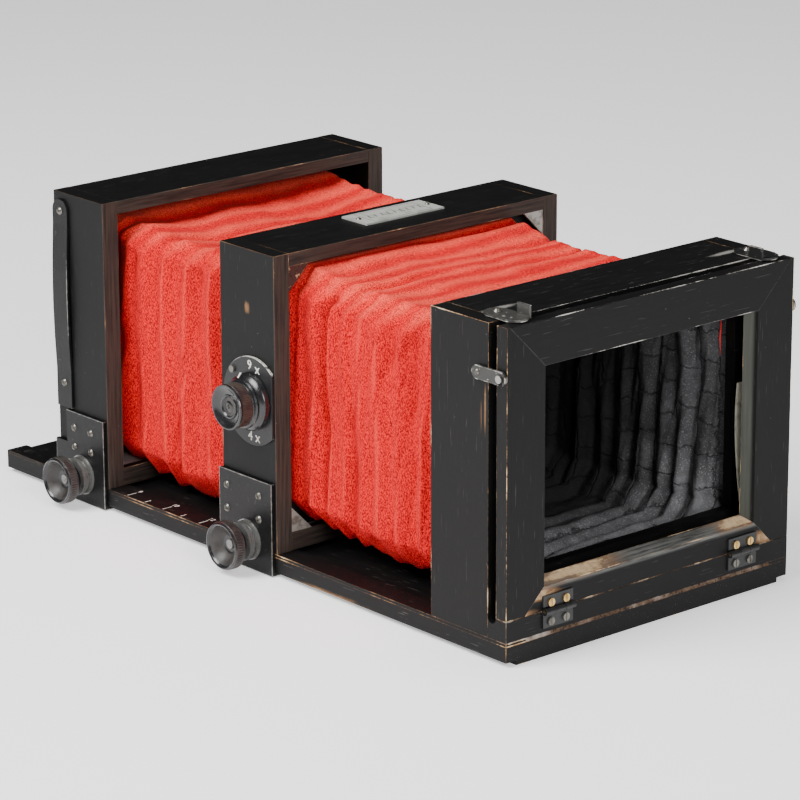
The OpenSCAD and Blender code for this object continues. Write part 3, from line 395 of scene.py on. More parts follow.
def metal(name, colour, roughness, metallic=1.0, dirt=(0.02, 0.018, 0.015), amount=0.35,
          scale=500.0):
    """Metal with dull patches and grime in its pits. amount is how much grime, up to 1."""
    f = Finish(name, Metallic=metallic)
    patch = f.cloud(scale * 0.35, 4.0, 0.65)
    grain = f.cloud(scale * 3.0, 3.0, 0.6)
    grime = f.smooth(patch, 0.48, 0.68) * amount
    f.feed("Base Color", f.blend(grime, colour, dirt))
    f.feed("Roughness", roughness + grime * 0.35 + (grain - 0.5) * 0.12)
    f.bump(grain + patch * 0.8, 0.00003, 0.7)
    return f.material


SCREW_STEEL = metal("worn_screw_steel", (0.30, 0.29, 0.27), 0.3, amount=0.7)
AGED_BRASS = metal("aged_brass", (0.62, 0.42, 0.17), 0.32, dirt=(0.10, 0.05, 0.02), amount=0.5)
DARK_SCREW = metal("dark_screw", (0.16, 0.15, 0.13), 0.3, 0.7, dirt=(0.03, 0.028, 0.025),
                   amount=0.7)
WORN_BRIGHT = metal("worn_bright_steel", (0.21, 0.21, 0.20), 0.3, 0.7, dirt=(0.05, 0.05, 0.046),
                    amount=0.6, scale=900.0)
BLACKENED = metal("blackened_steel", (0.016, 0.016, 0.017), 0.42, 0.2,
                  dirt=(0.035, 0.033, 0.03), amount=0.5)


def finish_node(node, material):
    """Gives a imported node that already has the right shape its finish."""
    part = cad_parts[node]
    part.data.materials.clear()
    part.data.materials.append(material)


finish_node("bed_strip_screws", SCREW_STEEL)
finish_node("tripod_bush", AGED_BRASS)

# ---- The rear box ----
# Two side boards and a top board screwed together over a sill, all lacquered black. The sill
# stands out behind the box and carries the hinges.

for side, sign in (("left", -1), ("right", 1)):
    low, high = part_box("rear_side_" + side)
    rubs = [(sign * BED_HALF, -0.1535, 0.104, 0.003, 0.0007, 0.013, 0.55),
            (sign * BED_HALF, -0.1512, 0.099, 0.003, 0.0004, 0.008, 0.35)]
    rounded_board("rear_side_" + side, "root",
                  lacquered("rear_side_lacquer_" + side, low, high, "z", wear=1.1, tan=0.7,
                            patches=rubs))

low, high = across(*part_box("rear_top_board"), BED_HALF)
rounded_board("rear_top_board", "root",
              lacquered("rear_top_lacquer", low, high, "x", wear=1.3, tan=0.3, scuffs=0.3,
                        patches=[(sign * 0.063, -0.1425, 0.138, 0.011, 0.0022, 0.002, 0.4)
                                 for sign in (-1, 1)]))

low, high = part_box("rear_sill")
rounded_board("rear_sill", "root",
              lacquered("sill_lacquer", (low[0], low[1], 0.010), high, "x", wear=0.6, tan=0.6))

low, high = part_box("rear_bellows_frame")
rounded_board("rear_bellows_frame", "root",
              lacquered("rear_frame_lacquer", low, high, "x", wear=0.3, tan=0.4), radius=0.0004)

finish_node("hinge_leaves_fixed", BLACKENED)
finish_node("hinge_pins", AGED_BRASS)
finish_node("rear_box_screws", DARK_SCREW)

# ---- The hinged back ----
# A mitred frame of four lacquered rails that swings down on two butt hinges. Years of
# handling have worn its bottom rail and its inner corners to pale wood.

for node, grain in (("back_rail_top", "x"), ("back_rail_bottom", "x"),
                    ("back_stile_left", "z"), ("back_stile_right", "z")):
    low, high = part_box(node)
    patches = []
    if node == "back_rail_bottom":
        low, high = across(low, (high[0], high[1], high[2] - BEVEL), BED_HALF)
        patches = [(-0.040, -0.1625, 0.0305, 0.030, 0.006, 0.0035, 1.0),
                   (-0.062, -0.1655, 0.0265, 0.012, 0.004, 0.004, 0.8),
                   (0.052, -0.1625, 0.0305, 0.018, 0.006, 0.004, 1.0),
                   (0.066, -0.166, 0.0220, 0.012, 0.004, 0.004, 0.8),
                   (-0.070, -0.1660, 0.0200, 0.009, 0.004, 0.002, 0.7)]
    elif node == "back_rail_top":
        low, high = across((low[0], low[1], low[2] + BEVEL), high, BED_HALF)
    rounded_board(node, "back_frame",
                  lacquered(node + "_lacquer", low, high, grain, wear=1.4,
                            tan=0.45 if node == "back_rail_top" else 1.0, patches=patches,
                            mitred=True, reveal=node == "back_stile_right",
                            ledge=node == "back_rail_bottom"), radius=0.0003)

finish_node("plate_springs",
            metal("tarnished_spring", (0.42, 0.40, 0.32), 0.42, 0.3, amount=0.4))
finish_node("hinge_leaves_moving", BLACKENED)
finish_node("hinge_screws_moving", AGED_BRASS)
finish_node("hook_studs", SCREW_STEEL)


def handled_steel(node, colour, spots=0.7, wear_and_highlight=(0.62, 0.60, 0.55)):
    """Darkened steel whose edges are painted bright, partly as rubbed steel and partly as
    highlight. spots is how strongly finger marks show.
    """
    low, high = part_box(node)
    f = Finish(node + "_steel", Metallic=0.75)
    patch = f.cloud(420.0, 4.0, 0.65)
    # The edges are painted bright, partly as rubbed steel and partly as highlight.
    rim = f.smooth(edge_distance(f, low, high) - (patch - 0.5) * 0.001, 0.00045, 0.0)
    f.feed("Base Color", f.blend(rim.most(f.smooth(patch, 0.60, 0.72) * spots), colour, wear_and_highlight))
    f.feed("Roughness", 0.3 + patch * 0.25)
    f.bump(patch, 0.00008, 0.6)
    return f.material


# The left latch is painted lighter than the right one, as a lit and a shaded copy of the same
# blackened steel.
for node, body, colour, finish_slot in (
        ("top_latch_left", "latch_left", (0.10, 0.098, 0.092), "steel_black"),
        ("top_latch_right", "latch_right", (0.035, 0.035, 0.036), "steel_black"),
        ("side_hook_left", "hook_left", (0.055, 0.055, 0.053), "steel_bright"),
        ("side_hook_right", "hook_right", (0.055, 0.055, 0.053), "steel_bright")):
    rounded_board(node, body, handled_steel(node, colour), 0.00018)

# ---- The middle box ----
# An open box that slides on the bed: lacquered outside, with its rear faces left as dark
# stained wood. It carries the rear lens, its dial and a nameplate.


def sliding_box(part, body):
    """The four boards of a box that slides on the bed."""
    for node, grain in ((part + "_side_left", "z"), (part + "_side_right", "z"),
                        (part + "_top_board", "x"), (part + "_bottom_board", "x")):
        low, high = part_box(node)
        if grain == "x":
            low, high = across(low, high, SLIDE_HALF)
        chips = []
        if node == "mid_side_left":
            chips = [(-SLIDE_HALF, -0.008, 0.113, 0.0022, 0.0021, 0.0034, 0.62)]
        rounded_board(node, body,
                      lacquered(node + "_lacquer", low, high, grain, wear=0.6, tan=0.75,
                                bare_rear=True, bare_inside="bottom" in node, patches=chips))


def inner_board(node):
    """Plain black lacquer on a panel or frame inside a box."""
    low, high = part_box(node)
    finish_node(node, lacquered(node + "_lacquer", low, high, "x", wear=0.15, tan=0.4))


sliding_box("mid", "middle")
inner_board("mid_lens_panel")
inner_board("mid_bellows_frames")

# The tin corners are stained. At the upper left they are painted dark as shadow, with small
# painted glints.
corner = Finish("tin_corner", Metallic=0.3, Roughness=0.4)
stain = corner.cloud(260.0, 4.0, 0.7)
painted_shadow = corner.smooth(corner.z - corner.x, 0.10, 0.16) * 0.92
tin = corner.blend(corner.smooth(stain, 0.42, 0.62), (0.34, 0.33, 0.30), (0.17, 0.155, 0.13))
shadow_with_painted_glints = corner.blend(corner.smooth(stain, 0.58, 0.64), (0.014, 0.012, 0.010), (0.50, 0.42, 0.25))
corner.feed("Base Color", corner.blend(painted_shadow, tin, shadow_with_painted_glints))
corner.bump(stain, 0.0003, 0.8)
finish_node("mid_corner_plates", corner.material)
finish_node("nameplate", metal("plated_name", (0.46, 0.46, 0.43), 0.4, 0.25, amount=0.35))

# The dial plate is black, with the upper rear part of its round rim painted bright, partly as
# rubbed metal and partly as highlight.
low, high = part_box("dial_plate")
plate_finish = Finish("dial_plate_finish", Metallic=0.2, Specular_IOR_Level=0.4)
knob_low, knob_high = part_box("dial_knob")
centre_y, centre_z = (knob_low[1] + knob_high[1]) / 2, (knob_low[2] + knob_high[2]) / 2
from_y, from_z = plate_finish.y - centre_y, plate_finish.z - centre_z
rim = (from_y * from_y + from_z * from_z).math("SQRT") - (high[2] - low[2]) / 2
wear_and_highlight = plate_finish.smooth(rim, -0.0003, -0.0001)
wear_and_highlight = wear_and_highlight * plate_finish.smooth(from_z - from_y, -0.004, 0.012)
grime = plate_finish.cloud(500.0, 4.0, 0.65)
plate_finish.feed("Base Color", plate_finish.blend(wear_and_highlight * plate_finish.smooth(grime, 0.35, 0.5),
                                                   (0.014, 0.014, 0.015), (0.55, 0.53, 0.48)))
plate_finish.feed("Roughness", 0.32 + grime * 0.2)
plate_finish.bump(grime, 0.00003, 0.6)
rounded_board("dial_plate", "middle", plate_finish.material, 0.0002)
finish_node("small_plate_screws", DARK_SCREW)


def bracket_steel(node, body):
    """Blackened sheet steel with thin grey along its edges, painted partly as wear and partly as
    highlight, on a bracket or a stay.
    """
    rounded_board(node, body,
                  handled_steel(node, (0.014, 0.014, 0.015), 0.12, (0.26, 0.25, 0.23)),
                  0.0002)


bracket_steel("mid_brackets", "middle")
finish_node("mid_bracket_screws", DARK_SCREW)
finish_node("mid_clamp_bolt", WORN_BRIGHT)
finish_node("mid_clamp_collar", WORN_BRIGHT)


def turned(name, body, centre, profile, material, node, steps, knurl):
    """A part turned about a cross line. profile is (distance out to the side, radius), from
    the inner end to the face's centre; knurl is the milled band's (from, to, depth, least
    radius), where every other line of vertices is cut in."""
    made = bmesh.new()
    y, z = centre
    points = [made.verts.new((-out, y, z + r)) for out, r in profile]
    line = [made.edges.new(pair) for pair in zip(points, points[1:])]
    bmesh.ops.spin(made, geom=points + line, cent=(0, y, z), axis=(1, 0, 0), dvec=(0, 0, 0),
                   angle=2 * math.pi, steps=steps, use_merge=True, use_duplicate=False)
    bmesh.ops.remove_doubles(made, verts=made.verts[:], dist=1e-6)
    bmesh.ops.recalc_face_normals(made, faces=made.faces[:])
    band_start, band_end, depth, least_radius = knurl
    for vert in made.verts:
        if band_start < -vert.co.x < band_end:
            arm = Vector((0, vert.co.y - y, vert.co.z - z))
            turn = round(math.atan2(arm.y, arm.z) / (2 * math.pi) * steps)
            if turn % 2 and arm.length > least_radius:
                vert.co -= arm.normalized() * depth
    piece = place_piece(made, name, body, material, [node], smooth=True)
    piece.data.set_sharp_from_angle(angle=0.6)


def knob_finish(name, band, bare):
    """Glossy black, like horn, and browned and dull in the knurled band."""
    f = Finish(name, Metallic=0.0, Specular_IOR_Level=0.6)
    patch = f.cloud(260.0, 4.0, 0.65)
    out = f.x * -1.0
    milled = f.smooth(out, band[0] - 0.0002, band[0]) * f.smooth(out, band[1] + 0.0002, band[1])
    brown = f.blend(f.smooth(patch, 0.4, 0.6), (0.014, 0.011, 0.010), bare)
    worn = f.smooth(patch, 0.60, 0.72) * 0.5
    black = f.blend(worn, (0.010, 0.010, 0.011), (0.07, 0.065, 0.06))
    f.feed("Base Color", f.blend(milled, black, brown))
    f.feed("Roughness", 0.16 + patch * 0.16 + milled * 0.26)
    f.bump(patch, 0.00004, 0.5)
    return f.material


def clamp_knob(name, node, body):
    """A cup-shaped knob with a milled rim, hollow in front."""
    low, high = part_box(node)
    y, z = (low[1] + high[1]) / 2, (low[2] + high[2]) / 2
    out, inner = -low[0], -high[0]
    rim = (high[2] - low[2]) / 2
    profile = [(inner, 0.0021), (inner, 0.0058), (inner + 0.0003, 0.0060),
               (inner + 0.0015, 0.0062), (inner + 0.0020, 0.0074),
               (inner + 0.0030, 0.0092), (inner + 0.0038, rim - 0.0005),
               (inner + 0.0041, rim - 0.0001), (inner + 0.0044, rim), (inner + 0.0058, rim),
               (out - 0.0016, rim), (out - 0.0012, rim), (out - 0.0010, rim - 0.0004),
               (out - 0.0008, rim - 0.0003), (out - 0.0003, rim - 0.0004), (out, rim - 0.0009),
               (out - 0.0001, rim - 0.0014), (out - 0.0006, rim - 0.0019),
               (out - 0.0018, rim - 0.0026), (out - 0.0034, rim - 0.0040),
               (out - 0.0047, rim - 0.0058), (out - 0.0053, 0.0032), (out - 0.0053, 0.0021)]
    band = (inner + 0.0042, out - 0.0011)
    turned(name, body, (y, z), profile,
           knob_finish(name + "_finish", band, (0.030, 0.026, 0.022)), node,
           steps=120, knurl=(*band, 0.00028, rim - 0.0003))


clamp_knob("mid_knob_turned", "mid_clamp_knob", "mid_knob")

# The dial knob has a wide foot, a slanted collar with the index line, a bead, a milled grip
# and a dished face with a turned ring in it.
low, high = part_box("dial_knob")
dial_y, dial_z = (low[1] + high[1]) / 2, (low[2] + high[2]) / 2
foot, face = -high[0], -low[0]
grip = (foot + 0.0066, face - 0.0019)
turned("dial_knob_turned", "dial", (dial_y, dial_z),
       [(foot, 0.0022), (foot, 0.0119), (foot + 0.0002, 0.0122), (foot + 0.0022, 0.0122),
        (foot + 0.0027, 0.0120), (foot + 0.0041, 0.0104), (foot + 0.0043, 0.0099),
        (foot + 0.0046, 0.0102), (foot + 0.0052, 0.0106), (foot + 0.0058, 0.0102),
        (foot + 0.0061, 0.0094), (foot + 0.0064, 0.0092), (foot + 0.0067, 0.0094),
        (grip[1] - 0.0001, 0.0094), (face - 0.0018, 0.0089), (face - 0.0016, 0.0092),
        (face - 0.0011, 0.0096), (face - 0.0005, 0.0097), (face - 0.0001, 0.0095), (face, 0.0091),
        (face - 0.0001, 0.0087), (face - 0.0006, 0.0080), (face - 0.0012, 0.0068),
        (face - 0.0015, 0.0056), (face - 0.0016, 0.0052), (face - 0.0012, 0.0050),
        (face - 0.0011, 0.0044), (face - 0.0013, 0.0041), (face - 0.0018, 0.0038),
        (face - 0.0019, 0.0026), (face - 0.0016, 0.0022), (face - 0.0015, 0.0009),
        (face - 0.0019, 0.0007), (face - 0.0019, 0.0)],
       knob_finish("dial_knob_finish", grip, (0.038, 0.026, 0.019)), "dial_knob",
       steps=128, knurl=(*grip, 0.00030, 0.0091))


def ink(name, roughness, scale, spread, dark, pale):
    """The dull, uneven filling of engraved numbers and lines."""
    f = Finish(name, Roughness=roughness)
    f.feed("Base Color", f.blend(f.smooth(f.cloud(scale), *spread), dark, pale))
    return f.material


WHITE_INK = ink("white_engraving", 0.7, 900.0, (0.35, 0.6), (0.45, 0.42, 0.36),
                (0.85, 0.82, 0.75))
LIFT = 0.00003  # how far a number or line lies above its face


def engraving(name, body, words, strokes, right, up, filling=WHITE_INK):
    """Filled numbers and lines on a face. words are (text, size, place) and strokes are
    (start, end, width), all lying in the plane of right and up."""
    right, up = Vector(right), Vector(up)
    outward = right.cross(up)
    turn = Matrix((right, up, outward)).transposed().to_4x4()
    made = bmesh.new()
    for text, size, place in words:
        drawn = bpy.data.curves.new("drawn", "FONT")
        drawn.body = text
        drawn.size = size
        drawn.align_x = "CENTER"
        drawn.align_y = "CENTER"
        drawn.offset = size * 0.012
        drawn.resolution_u = 3
        holder = bpy.data.objects.new("drawn", drawn)
        flat = bpy.data.meshes.new_from_object(holder)
        flat.transform(Matrix.Translation(place) @ turn)
        made.from_mesh(flat)
        bpy.data.objects.remove(holder)
        bpy.data.meshes.remove(flat)
    for start, end, width in strokes:
        start, end = Vector(start), Vector(end)
        aside = (end - start).cross(outward).normalized() * width / 2
        corners = (start - aside, start + aside, end + aside, end - aside)
        made.faces.new([made.verts.new(corner) for corner in corners])
    bmesh.ops.triangulate(made, faces=made.faces[:])
    for one in made.faces:
        one.normal_update()
        if one.normal.dot(outward) < 0:
            one.normal_flip()
    place_piece(made, name, body, filling)


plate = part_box("dial_plate")[0][0] - 0.00004
engraving("dial_numbers", "middle",
          [("9", 0.0056, (plate, dial_y + 0.0012, dial_z + 0.0152)),
           ("x", 0.0060, (plate, dial_y - 0.0038, dial_z + 0.0143)),
           ("4", 0.0056, (plate, dial_y + 0.0012, dial_z - 0.0153)),
           ("x", 0.0060, (plate, dial_y - 0.0036, dial_z - 0.0152))], [],
          (0, -1, 0), (0, 0, 1))

# The nameplate has a plain ruled border round a row of slanted strokes.
DARK_INK = ink("dark_engraving", 0.6, 700.0, (0.45, 0.6), (0.05, 0.05, 0.045),
               (0.20, 0.20, 0.18))
STROKES = 9
low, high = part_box("nameplate")
plate_top = high[2] + LIFT
left, right, back, front = low[0] + 0.0055, high[0] - 0.0055, low[1] + 0.0013, high[1] - 0.0013
ruled = [((left, back), (right, back)), ((left, front), (right, front)),
         ((left, back), (left, front)), ((right, back), (right, front))]
strokes = [((*start, plate_top), (*end, plate_top), 0.0003) for start, end in ruled]
middle_y = (back + front) / 2
lower_y, upper_y = middle_y - 0.0019, middle_y + 0.0019
for i in range(STROKES):
    at = left + (right - left) * (i + 0.6) / (STROKES + 0.2)
    strokes.append(((at, lower_y, plate_top), (at + 0.0012, upper_y, plate_top), 0.0007))
    if i % 3 != 1:
        strokes.append(((at, lower_y, plate_top), (at + 0.0019, lower_y, plate_top), 0.0005))
engraving("nameplate_pattern", "middle", [], strokes, (1, 0, 0), (0, 1, 0), DARK_INK)

# The scale on the bed's left strip has a long mark at each number and a short one between.
SCALE_X = -0.0775
SCALE_START = 0.016
SCALE_STEP = 0.0125
strip_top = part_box("bed_strips")[1][2] + LIFT
marks = []
for i in range(7):
    mark_y = SCALE_START + SCALE_STEP * i
    mark_x = SCALE_X + (0.005 if i % 2 else 0.0032)
    marks.append(((SCALE_X, mark_y, strip_top), (mark_x, mark_y, strip_top), 0.0004))
numbers = [(text, 0.0034, (-0.0705, 0.0285 + 0.025 * i, strip_top))
           for i, text in enumerate(("12", "10", "9"))]
engraving("bed_scale", "root", numbers, marks, (0, -1, 0), (1, 0, 0))

# The index line lies on the slanted collar of the dial knob.
index = foot + 0.00345
engraving("dial_index", "dial", [],
          [((-index + 0.0009, dial_y + 0.0036, dial_z + 0.01200),
            (-index - 0.0009, dial_y + 0.0033, dial_z + 0.01020), 0.0009)],
          (0, -1, 0), (0.7, 0, 0.7))
finish_node("dial_shaft", AGED_BRASS)
finish_node("tele_tube", AGED_BRASS)

GLASS = Finish("coated_glass", Roughness=0.03, IOR=1.52, Transmission_Weight=1.0)
GLASS.feed("Base Color", GLASS.blend(GLASS.cloud(30.0), (0.80, 0.88, 0.90), (0.86, 0.90, 0.92)))
finish_node("tele_glass", GLASS.material)

# ---- The front box ----
# A second sliding box, closed in front by the lens board. A thin steel stay stands at the
# front edge of each side, and the brass lens is screwed to the board.

sliding_box("front", "front")
inner_board("front_lens_board")
inner_board("front_bellows_frame")
finish_node("lens_barrel", AGED_BRASS)
finish_node("lens_glass", GLASS.material)
finish_node("iris_ring", AGED_BRASS)
bracket_steel("front_brackets", "front")
finish_node("front_screws", DARK_SCREW)
bracket_steel("front_stays", "front")
finish_node("front_clamp_bolt", WORN_BRIGHT)
finish_node("front_clamp_collar", WORN_BRIGHT)
clamp_knob("front_knob_turned", "front_clamp_knob", "front_knob")

# ---- The bellows ----
# Two tubes of thin crinkled cotton, red outside and lined with black. They are glued inside
# the boxes and hang in soft uneven pleats, with small slanted folds at the upper corners.

RED = (0.68, 0.003, 0.007)
RED_DEEP = (0.19, 0.001, 0.003)
RED_FADED = (0.92, 0.020, 0.017)


def bellows_cloth(name):
    """Crinkled red cotton, darker between its threads, with painted shade in the folds, painted
    highlight on the ridges, and a paler top, partly faded cloth and partly painted highlight.
    """
    f = Finish(name, Roughness=0.85, Sheen_Weight=0.05, Sheen_Roughness=0.5,
               Sheen_Tint=(1.0, 0.4, 0.35, 1.0), Specular_IOR_Level=0.12)
    crepe = f.cloud(1800.0, 1.5, 0.5, f.stretched((1.0, 1.5, 0.65)))
    thread = f.cloud(3000.0, 2.0, 0.6)
    weave = crepe * 0.82 + thread * 0.18
    fade_and_highlight = f.node("ShaderNodeAttribute", {"attribute_name": "fade_and_highlight"}, {}, "Fac")
    wide = f.cloud(28.0, 3.0, 0.6)
    fold_shading = f.node("ShaderNodeAttribute", {"attribute_name": "fold_shading"}, {}, "Fac")
    tone = f.blend(f.smooth(weave, 0.50, 0.41) * 0.95, RED, RED_DEEP)
    tone = f.blend(f.smooth(weave, 0.53, 0.62) * 0.65, tone, RED_FADED)
    # Painted shade in the valleys of the folds, and painted highlight on their ridges.
    tone = f.blend(f.smooth(fold_shading, 0.34, 0.0) * 0.5, tone, (0.30, 0.001, 0.004))
    tone = f.blend(f.smooth(fold_shading, 0.90, 1.0) * 0.35, tone, (0.95, 0.055, 0.040))
    # The shoulders and top are painted paler, partly as faded cloth and partly as highlight.
    faded_and_lit = f.smooth(fade_and_highlight + (wide - 0.5) * 0.7, 0.25, 1.05)
    faded_and_lit = faded_and_lit * (0.35 + f.smooth(weave, 0.42, 0.58) * 0.6)
    tone = f.blend(faded_and_lit, tone, (0.95, 0.085, 0.052))
    f.feed("Base Color", tone)
    f.bump(weave, 0.0007, 0.85)
    return f.material


def bellows_lining(name):
    """Dull black cloth, pressed into small oblong folds with painted shade in the lines between
    them, and painted paler where light has reached.
    """
    f = Finish(name, Roughness=0.9, Specular_IOR_Level=0.15)
    crease = f.cloud(120.0, 5.0, 0.65)
    along = f.node("ShaderNodeCombineXYZ", {}, {"X": f.z + (crease - 0.5) * 0.010,
                                                "Y": f.y + (crease - 0.5) * 0.006})
    folds = f.node("ShaderNodeTexBrick", {"offset": 0.4, "squash": 0.8},
                   {"Vector": along, "Scale": 1.0, "Mortar Size": 0.0007, "Mortar Smooth": 1.0,
                    "Brick Width": 0.017, "Row Height": 0.0115}, "Fac")
    dust = f.smooth(f.cloud(1500.0, 2.0), 0.56, 0.68)
    reached = f.smooth(f.y, -0.065, -0.140) * (f.smooth(f.z, 0.054, 0.034) * 2.0 + 0.85) + 0.06
    # The lines between the folds are painted darker as shade, and reached paints the rear and
    # floor paler as light.
    f.feed("Base Color", f.blend((dust * 0.35 + crease * 0.5 - folds * 0.12) * reached,
                                 (0.009, 0.009, 0.010), (0.30, 0.30, 0.31)))
    f.bump(crease * 0.8 - folds * 0.35, 0.0018, 0.9)
    return f.material


CLOTH_THICKNESS = 0.0008
CORNER = 0.011  # how much is cut off each corner of the tube
CORNER_TURN = 0.034  # how wide the change from an upright wall to the top or bottom is
ROWS = 170  # rows of faces from one end to the other
SIDE_DEPTH = 0.0047  # depth of the pleats of the upright walls
TOP_DEPTH = 0.0018
BOTTOM_DEPTH = 0.0040


def cloth_tube(low, high):
    """A plain tube of small faces with cut corners, open at both ends."""
    x1, z0, z1 = high[0], low[2], high[2]
    outline = [(-x1 + CORNER, z0), (x1 - CORNER, z0), (x1, z0 + CORNER), (x1, z1 - CORNER),
               (x1 - CORNER, z1), (-x1 + CORNER, z1), (-x1, z1 - CORNER), (-x1, z0 + CORNER)]
    cloth = bmesh.new()
    ring = [cloth.verts.new((x, low[1], z)) for x, z in outline]
    loop = [cloth.edges.new((ring[i], ring[(i + 1) % 8])) for i in range(8)]
    for edge in loop:
        cuts = 54 if edge.calc_length() > 0.05 else 8
        bmesh.ops.subdivide_edges(cloth, edges=[edge], cuts=cuts)
    loop = cloth.edges[:]
    for row in range(ROWS):
        made = bmesh.ops.extrude_edge_only(cloth, edges=loop)["geom"]
        moved = [g for g in made if isinstance(g, bmesh.types.BMVert)]
        loop = [g for g in made if isinstance(g, bmesh.types.BMEdge)
                and abs(g.verts[0].co.y - g.verts[1].co.y) < 1e-7 and g.is_boundary]
        bmesh.ops.translate(cloth, verts=moved, vec=(0, (high[1] - low[1]) / ROWS, 0))
    bmesh.ops.recalc_face_normals(cloth, faces=cloth.faces[:])
    return cloth


def eased(value):
    """Turns an even rise from 0 to 1 into one with soft ends."""
    return value * value * (3 - 2 * value)


def uneven(x, y, z):
    """Smooth chance between -1 and 1 that is the same in each run."""
    return noise.noise(Vector((x, y, z)))


def pleat_at(along, valleys):
    """The number of the pleat at a place from 0 to 1, and as its fraction how far across."""
    for i in range(len(valleys) - 1):
        if valleys[i] <= along <= valleys[i + 1]:
            return i + (along - valleys[i]) / (valleys[i + 1] - valleys[i])
    return 0.0 if along < valleys[0] else len(valleys) - 1.0


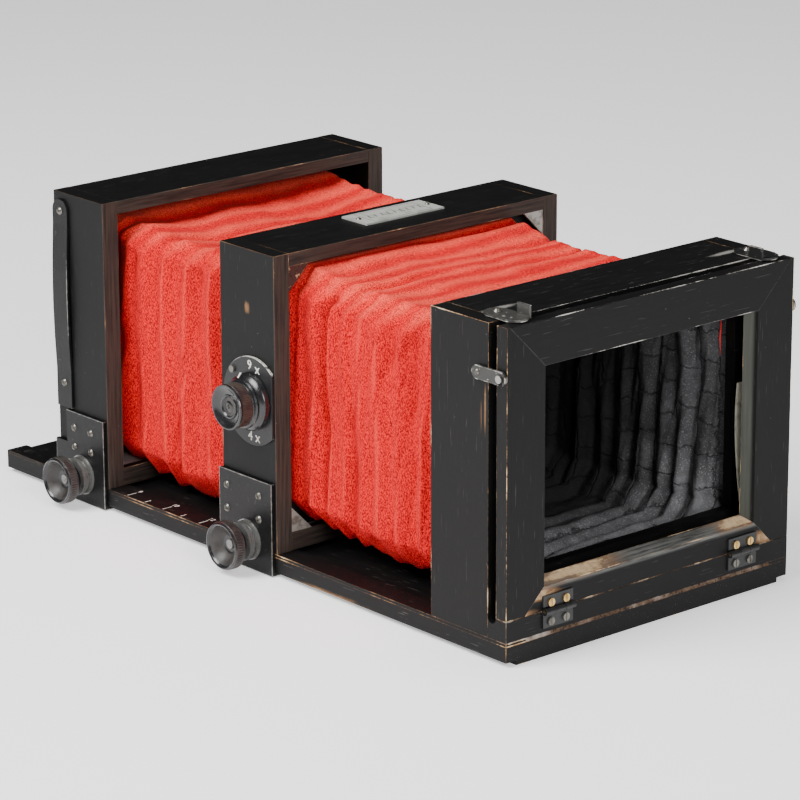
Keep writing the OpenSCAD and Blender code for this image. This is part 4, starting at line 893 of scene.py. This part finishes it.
def bellows(name, node, bodies, valleys, sag, seed):
    """One bellows between two boxes. valleys are the folds between its pleats, from 0 to 1."""
    low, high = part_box(node)
    y0, y1 = low[1], high[1]
    x1, z0, z1 = high[0], low[2], high[2]
    half_z = (z0 + z1) / 2
    cloth = cloth_tube(low, high)
    fade_and_highlight_layer = cloth.verts.layers.float.new("fade_and_highlight")
    fold_shading_layer = cloth.verts.layers.float.new("fold_shading")
    for vert in cloth.verts:
        x, y, z = vert.co
        t = (y - y0) / (y1 - y0)
        # hold is 0 at the glued ends and 1 a twentieth of the length from them.
        hold = eased(min(1.0, min(t, 1 - t) / 0.05))
        # side is 1 on the upright walls and 0 on the top and bottom; it turns at the corners.
        to_side = x1 - abs(x)
        to_flat = min(z1 - z, z - z0)
        side = eased(max(0.0, min(1.0, 0.5 + (to_flat - to_side) / CORNER_TURN)))
        flat = 1 - side
        up = (z - half_z) / (z1 - half_z)
        upper = max(0.0, up)
        near_corner = 4 * side * (1 - side)

        # Where along the pleats the point is: they wander, and slant over the top.
        at = Vector((x * 15, z * 15, seed))
        wander = 0.020 * noise.noise(at + Vector((0, 0, t * 2))) + 0.008 * noise.noise(at * 3)
        slant = 0.030 * (x / x1) * math.sin(3.3 * t + seed)
        slant += 0.03 * uneven(x * 28, t * 3, seed * 2)
        phase = pleat_at(t + wander + slant * flat + 0.035 * upper ** 4 * side, valleys)
        phase += flat * (0.55 if up > 0 else 0.1)
        whole = math.floor(phase)
        part = phase - whole

        # The shape across one pleat, from 0 in its valley to 1 on its ridge.
        ridge = 0.5 + 0.3 * uneven(whole * 5.1 + seed, 1.7, z * 9)
        if part < ridge:
            skewed = part / ridge * 0.5
        else:
            skewed = 0.5 + (part - ridge) / (1 - ridge) * 0.5
        sharp = 0.5 + 0.35 * near_corner * upper
        profile = (1 - sharp) * (0.5 - 0.5 * math.cos(2 * math.pi * skewed))
        profile += sharp * (1 - abs(2 * skewed - 1))

        # How deep this pleat goes here. The folds of the top are few, and some fade out.
        valley = whole if part < ridge else whole + 1
        along = z * 15 * side + x * 13 * flat
        chance = uneven(valley * 3.7 + seed, along, seed)
        vary = max(0.15, 0.80 + 1.1 * chance)
        if up > 0:
            vary = side * vary + flat * max(0.0, 0.35 + 2.4 * chance)
        drop = 0.5 * max(0.0, uneven(whole * 2.9 - seed, along * 0.8, 4.0) + 0.25)
        depth = SIDE_DEPTH * side + flat * (TOP_DEPTH if up > 0 else BOTTOM_DEPTH)

        # Small creases, broad dents and crimped corners on top of the pleats.
        crease = 1 - 4.5 * abs(uneven(seed, y * 115 + z * 22, z * 11))
        crease = max(0.0, crease) ** 2 * side
        inward = ((1 - profile) * vary + profile * drop) * depth * hold + 0.0010 * crease * hold
        broad = 0.0024 * uneven(x * 22, y * 26, z * 20 + seed)
        broad += 0.0010 * uneven(x * 70, y * 95, z * 55 + seed)
        folds = 1 - abs(uneven(x * 60 + y * 60, y * 70, z * 60 - y * 50 + seed)) * 2.2
        broad += 0.0012 * max(0.0, folds) ** 3 * (0.25 + near_corner * upper)
        crimp = 1 - abs(2 * ((phase * 2) % 1) - 1)
        broad += 0.0016 * crimp * near_corner * upper
        inward -= broad * hold

        # The walls move in by that much, and the cloth hangs between its ends.
        arch = math.sin(math.pi * t)
        outward = 1.0 if x > 0 else -1.0
        vert.co.x -= outward * side * inward
        vert.co.z -= (1 if up > 0 else -1) * flat * inward
        if up > 0:
            middle = 1 - min(1.0, abs(x) / x1) ** 3
            vert.co.z -= sag * arch * up ** 3 * (0.45 + 0.55 * middle)
        else:
            vert.co.z -= sag * 0.9 * math.sin(math.pi * t ** 0.85) * (-up) ** 2
        vert.co.x -= outward * side * 0.0012 * arch

        # What the cloth's finish reads: the folds and creases get painted shade, the ridges
        # painted highlight, and the shoulders are paler, partly faded and partly painted
        # highlight.
        raised = profile * min(1.0, vary) + (1 - min(1.0, vary)) - 0.6
        vert[fold_shading_layer] = 0.6 + raised * hold * (0.2 + 0.8 * side)
        vert[fold_shading_layer] -= 0.28 * crease * hold
        shoulder = upper ** 3
        vert[fade_and_highlight_layer] = (shoulder * (0.25 + 0.75 * profile) * (1 - 0.4 * side)
                            + 0.12 * side * profile * (0.5 + 0.5 * up)
                            + 0.25 * near_corner * shoulder)
    piece = place_piece(cloth, name, bodies[0],
                        [bellows_cloth(name + "_cloth"), bellows_lining(name + "_lining")],
                        [node], smooth=True)
    piece.parent = None
    wall = piece.modifiers.new("lining", "SOLIDIFY")
    wall.thickness = CLOTH_THICKNESS
    wall.offset = -1
    wall.material_offset = 1
    wall.use_rim = True
    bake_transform(piece)


low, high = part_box("mid_side_left")
bellows("rear_bellows", "bellows_rear", ("root", "middle"),
        [0.0, 0.11, 0.21, 0.305, 0.395, 0.50, 0.605, 0.70, 0.77, 0.85, 0.95, 1.0], 0.006, 3.1)
bellows("front_bellows", "bellows_front", ("middle", "front"),
        [0.0, 0.10, 0.21, 0.34, 0.48, 0.60, 0.74, 0.88, 1.0], 0.010, 11.7)

# A short slit in the lining beside the frame shows the red cloth. Its edges are given from the
# top down, as (x, z, half width).
slit = bmesh.new()
slit_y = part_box("rear_bellows_frame")[1][1] + 0.0004
edges_of_slit = [(0.0588, 0.1125, 0.0001), (0.0590, 0.1080, 0.0004), (0.0586, 0.1035, 0.0005),
                 (0.0589, 0.0990, 0.0002), (0.0588, 0.0960, 0.0001)]
left_side = [slit.verts.new((x - w, slit_y, z)) for x, z, w in edges_of_slit]
right_side = [slit.verts.new((x + w, slit_y, z)) for x, z, w in edges_of_slit]
for i in range(len(edges_of_slit) - 1):
    slit.faces.new((left_side[i], left_side[i + 1], right_side[i + 1], right_side[i]))
for face in slit.faces:
    face.normal_update()
    if face.normal.y > 0:
        face.normal_flip()
seen_red = Finish("red_in_slit", Roughness=0.85)
seen_red.feed("Base Color", seen_red.blend(seen_red.cloud(900.0), RED_DEEP, (0.85, 0.02, 0.02)))
place_piece(slit, "lining_slit", "root", seen_red.material)
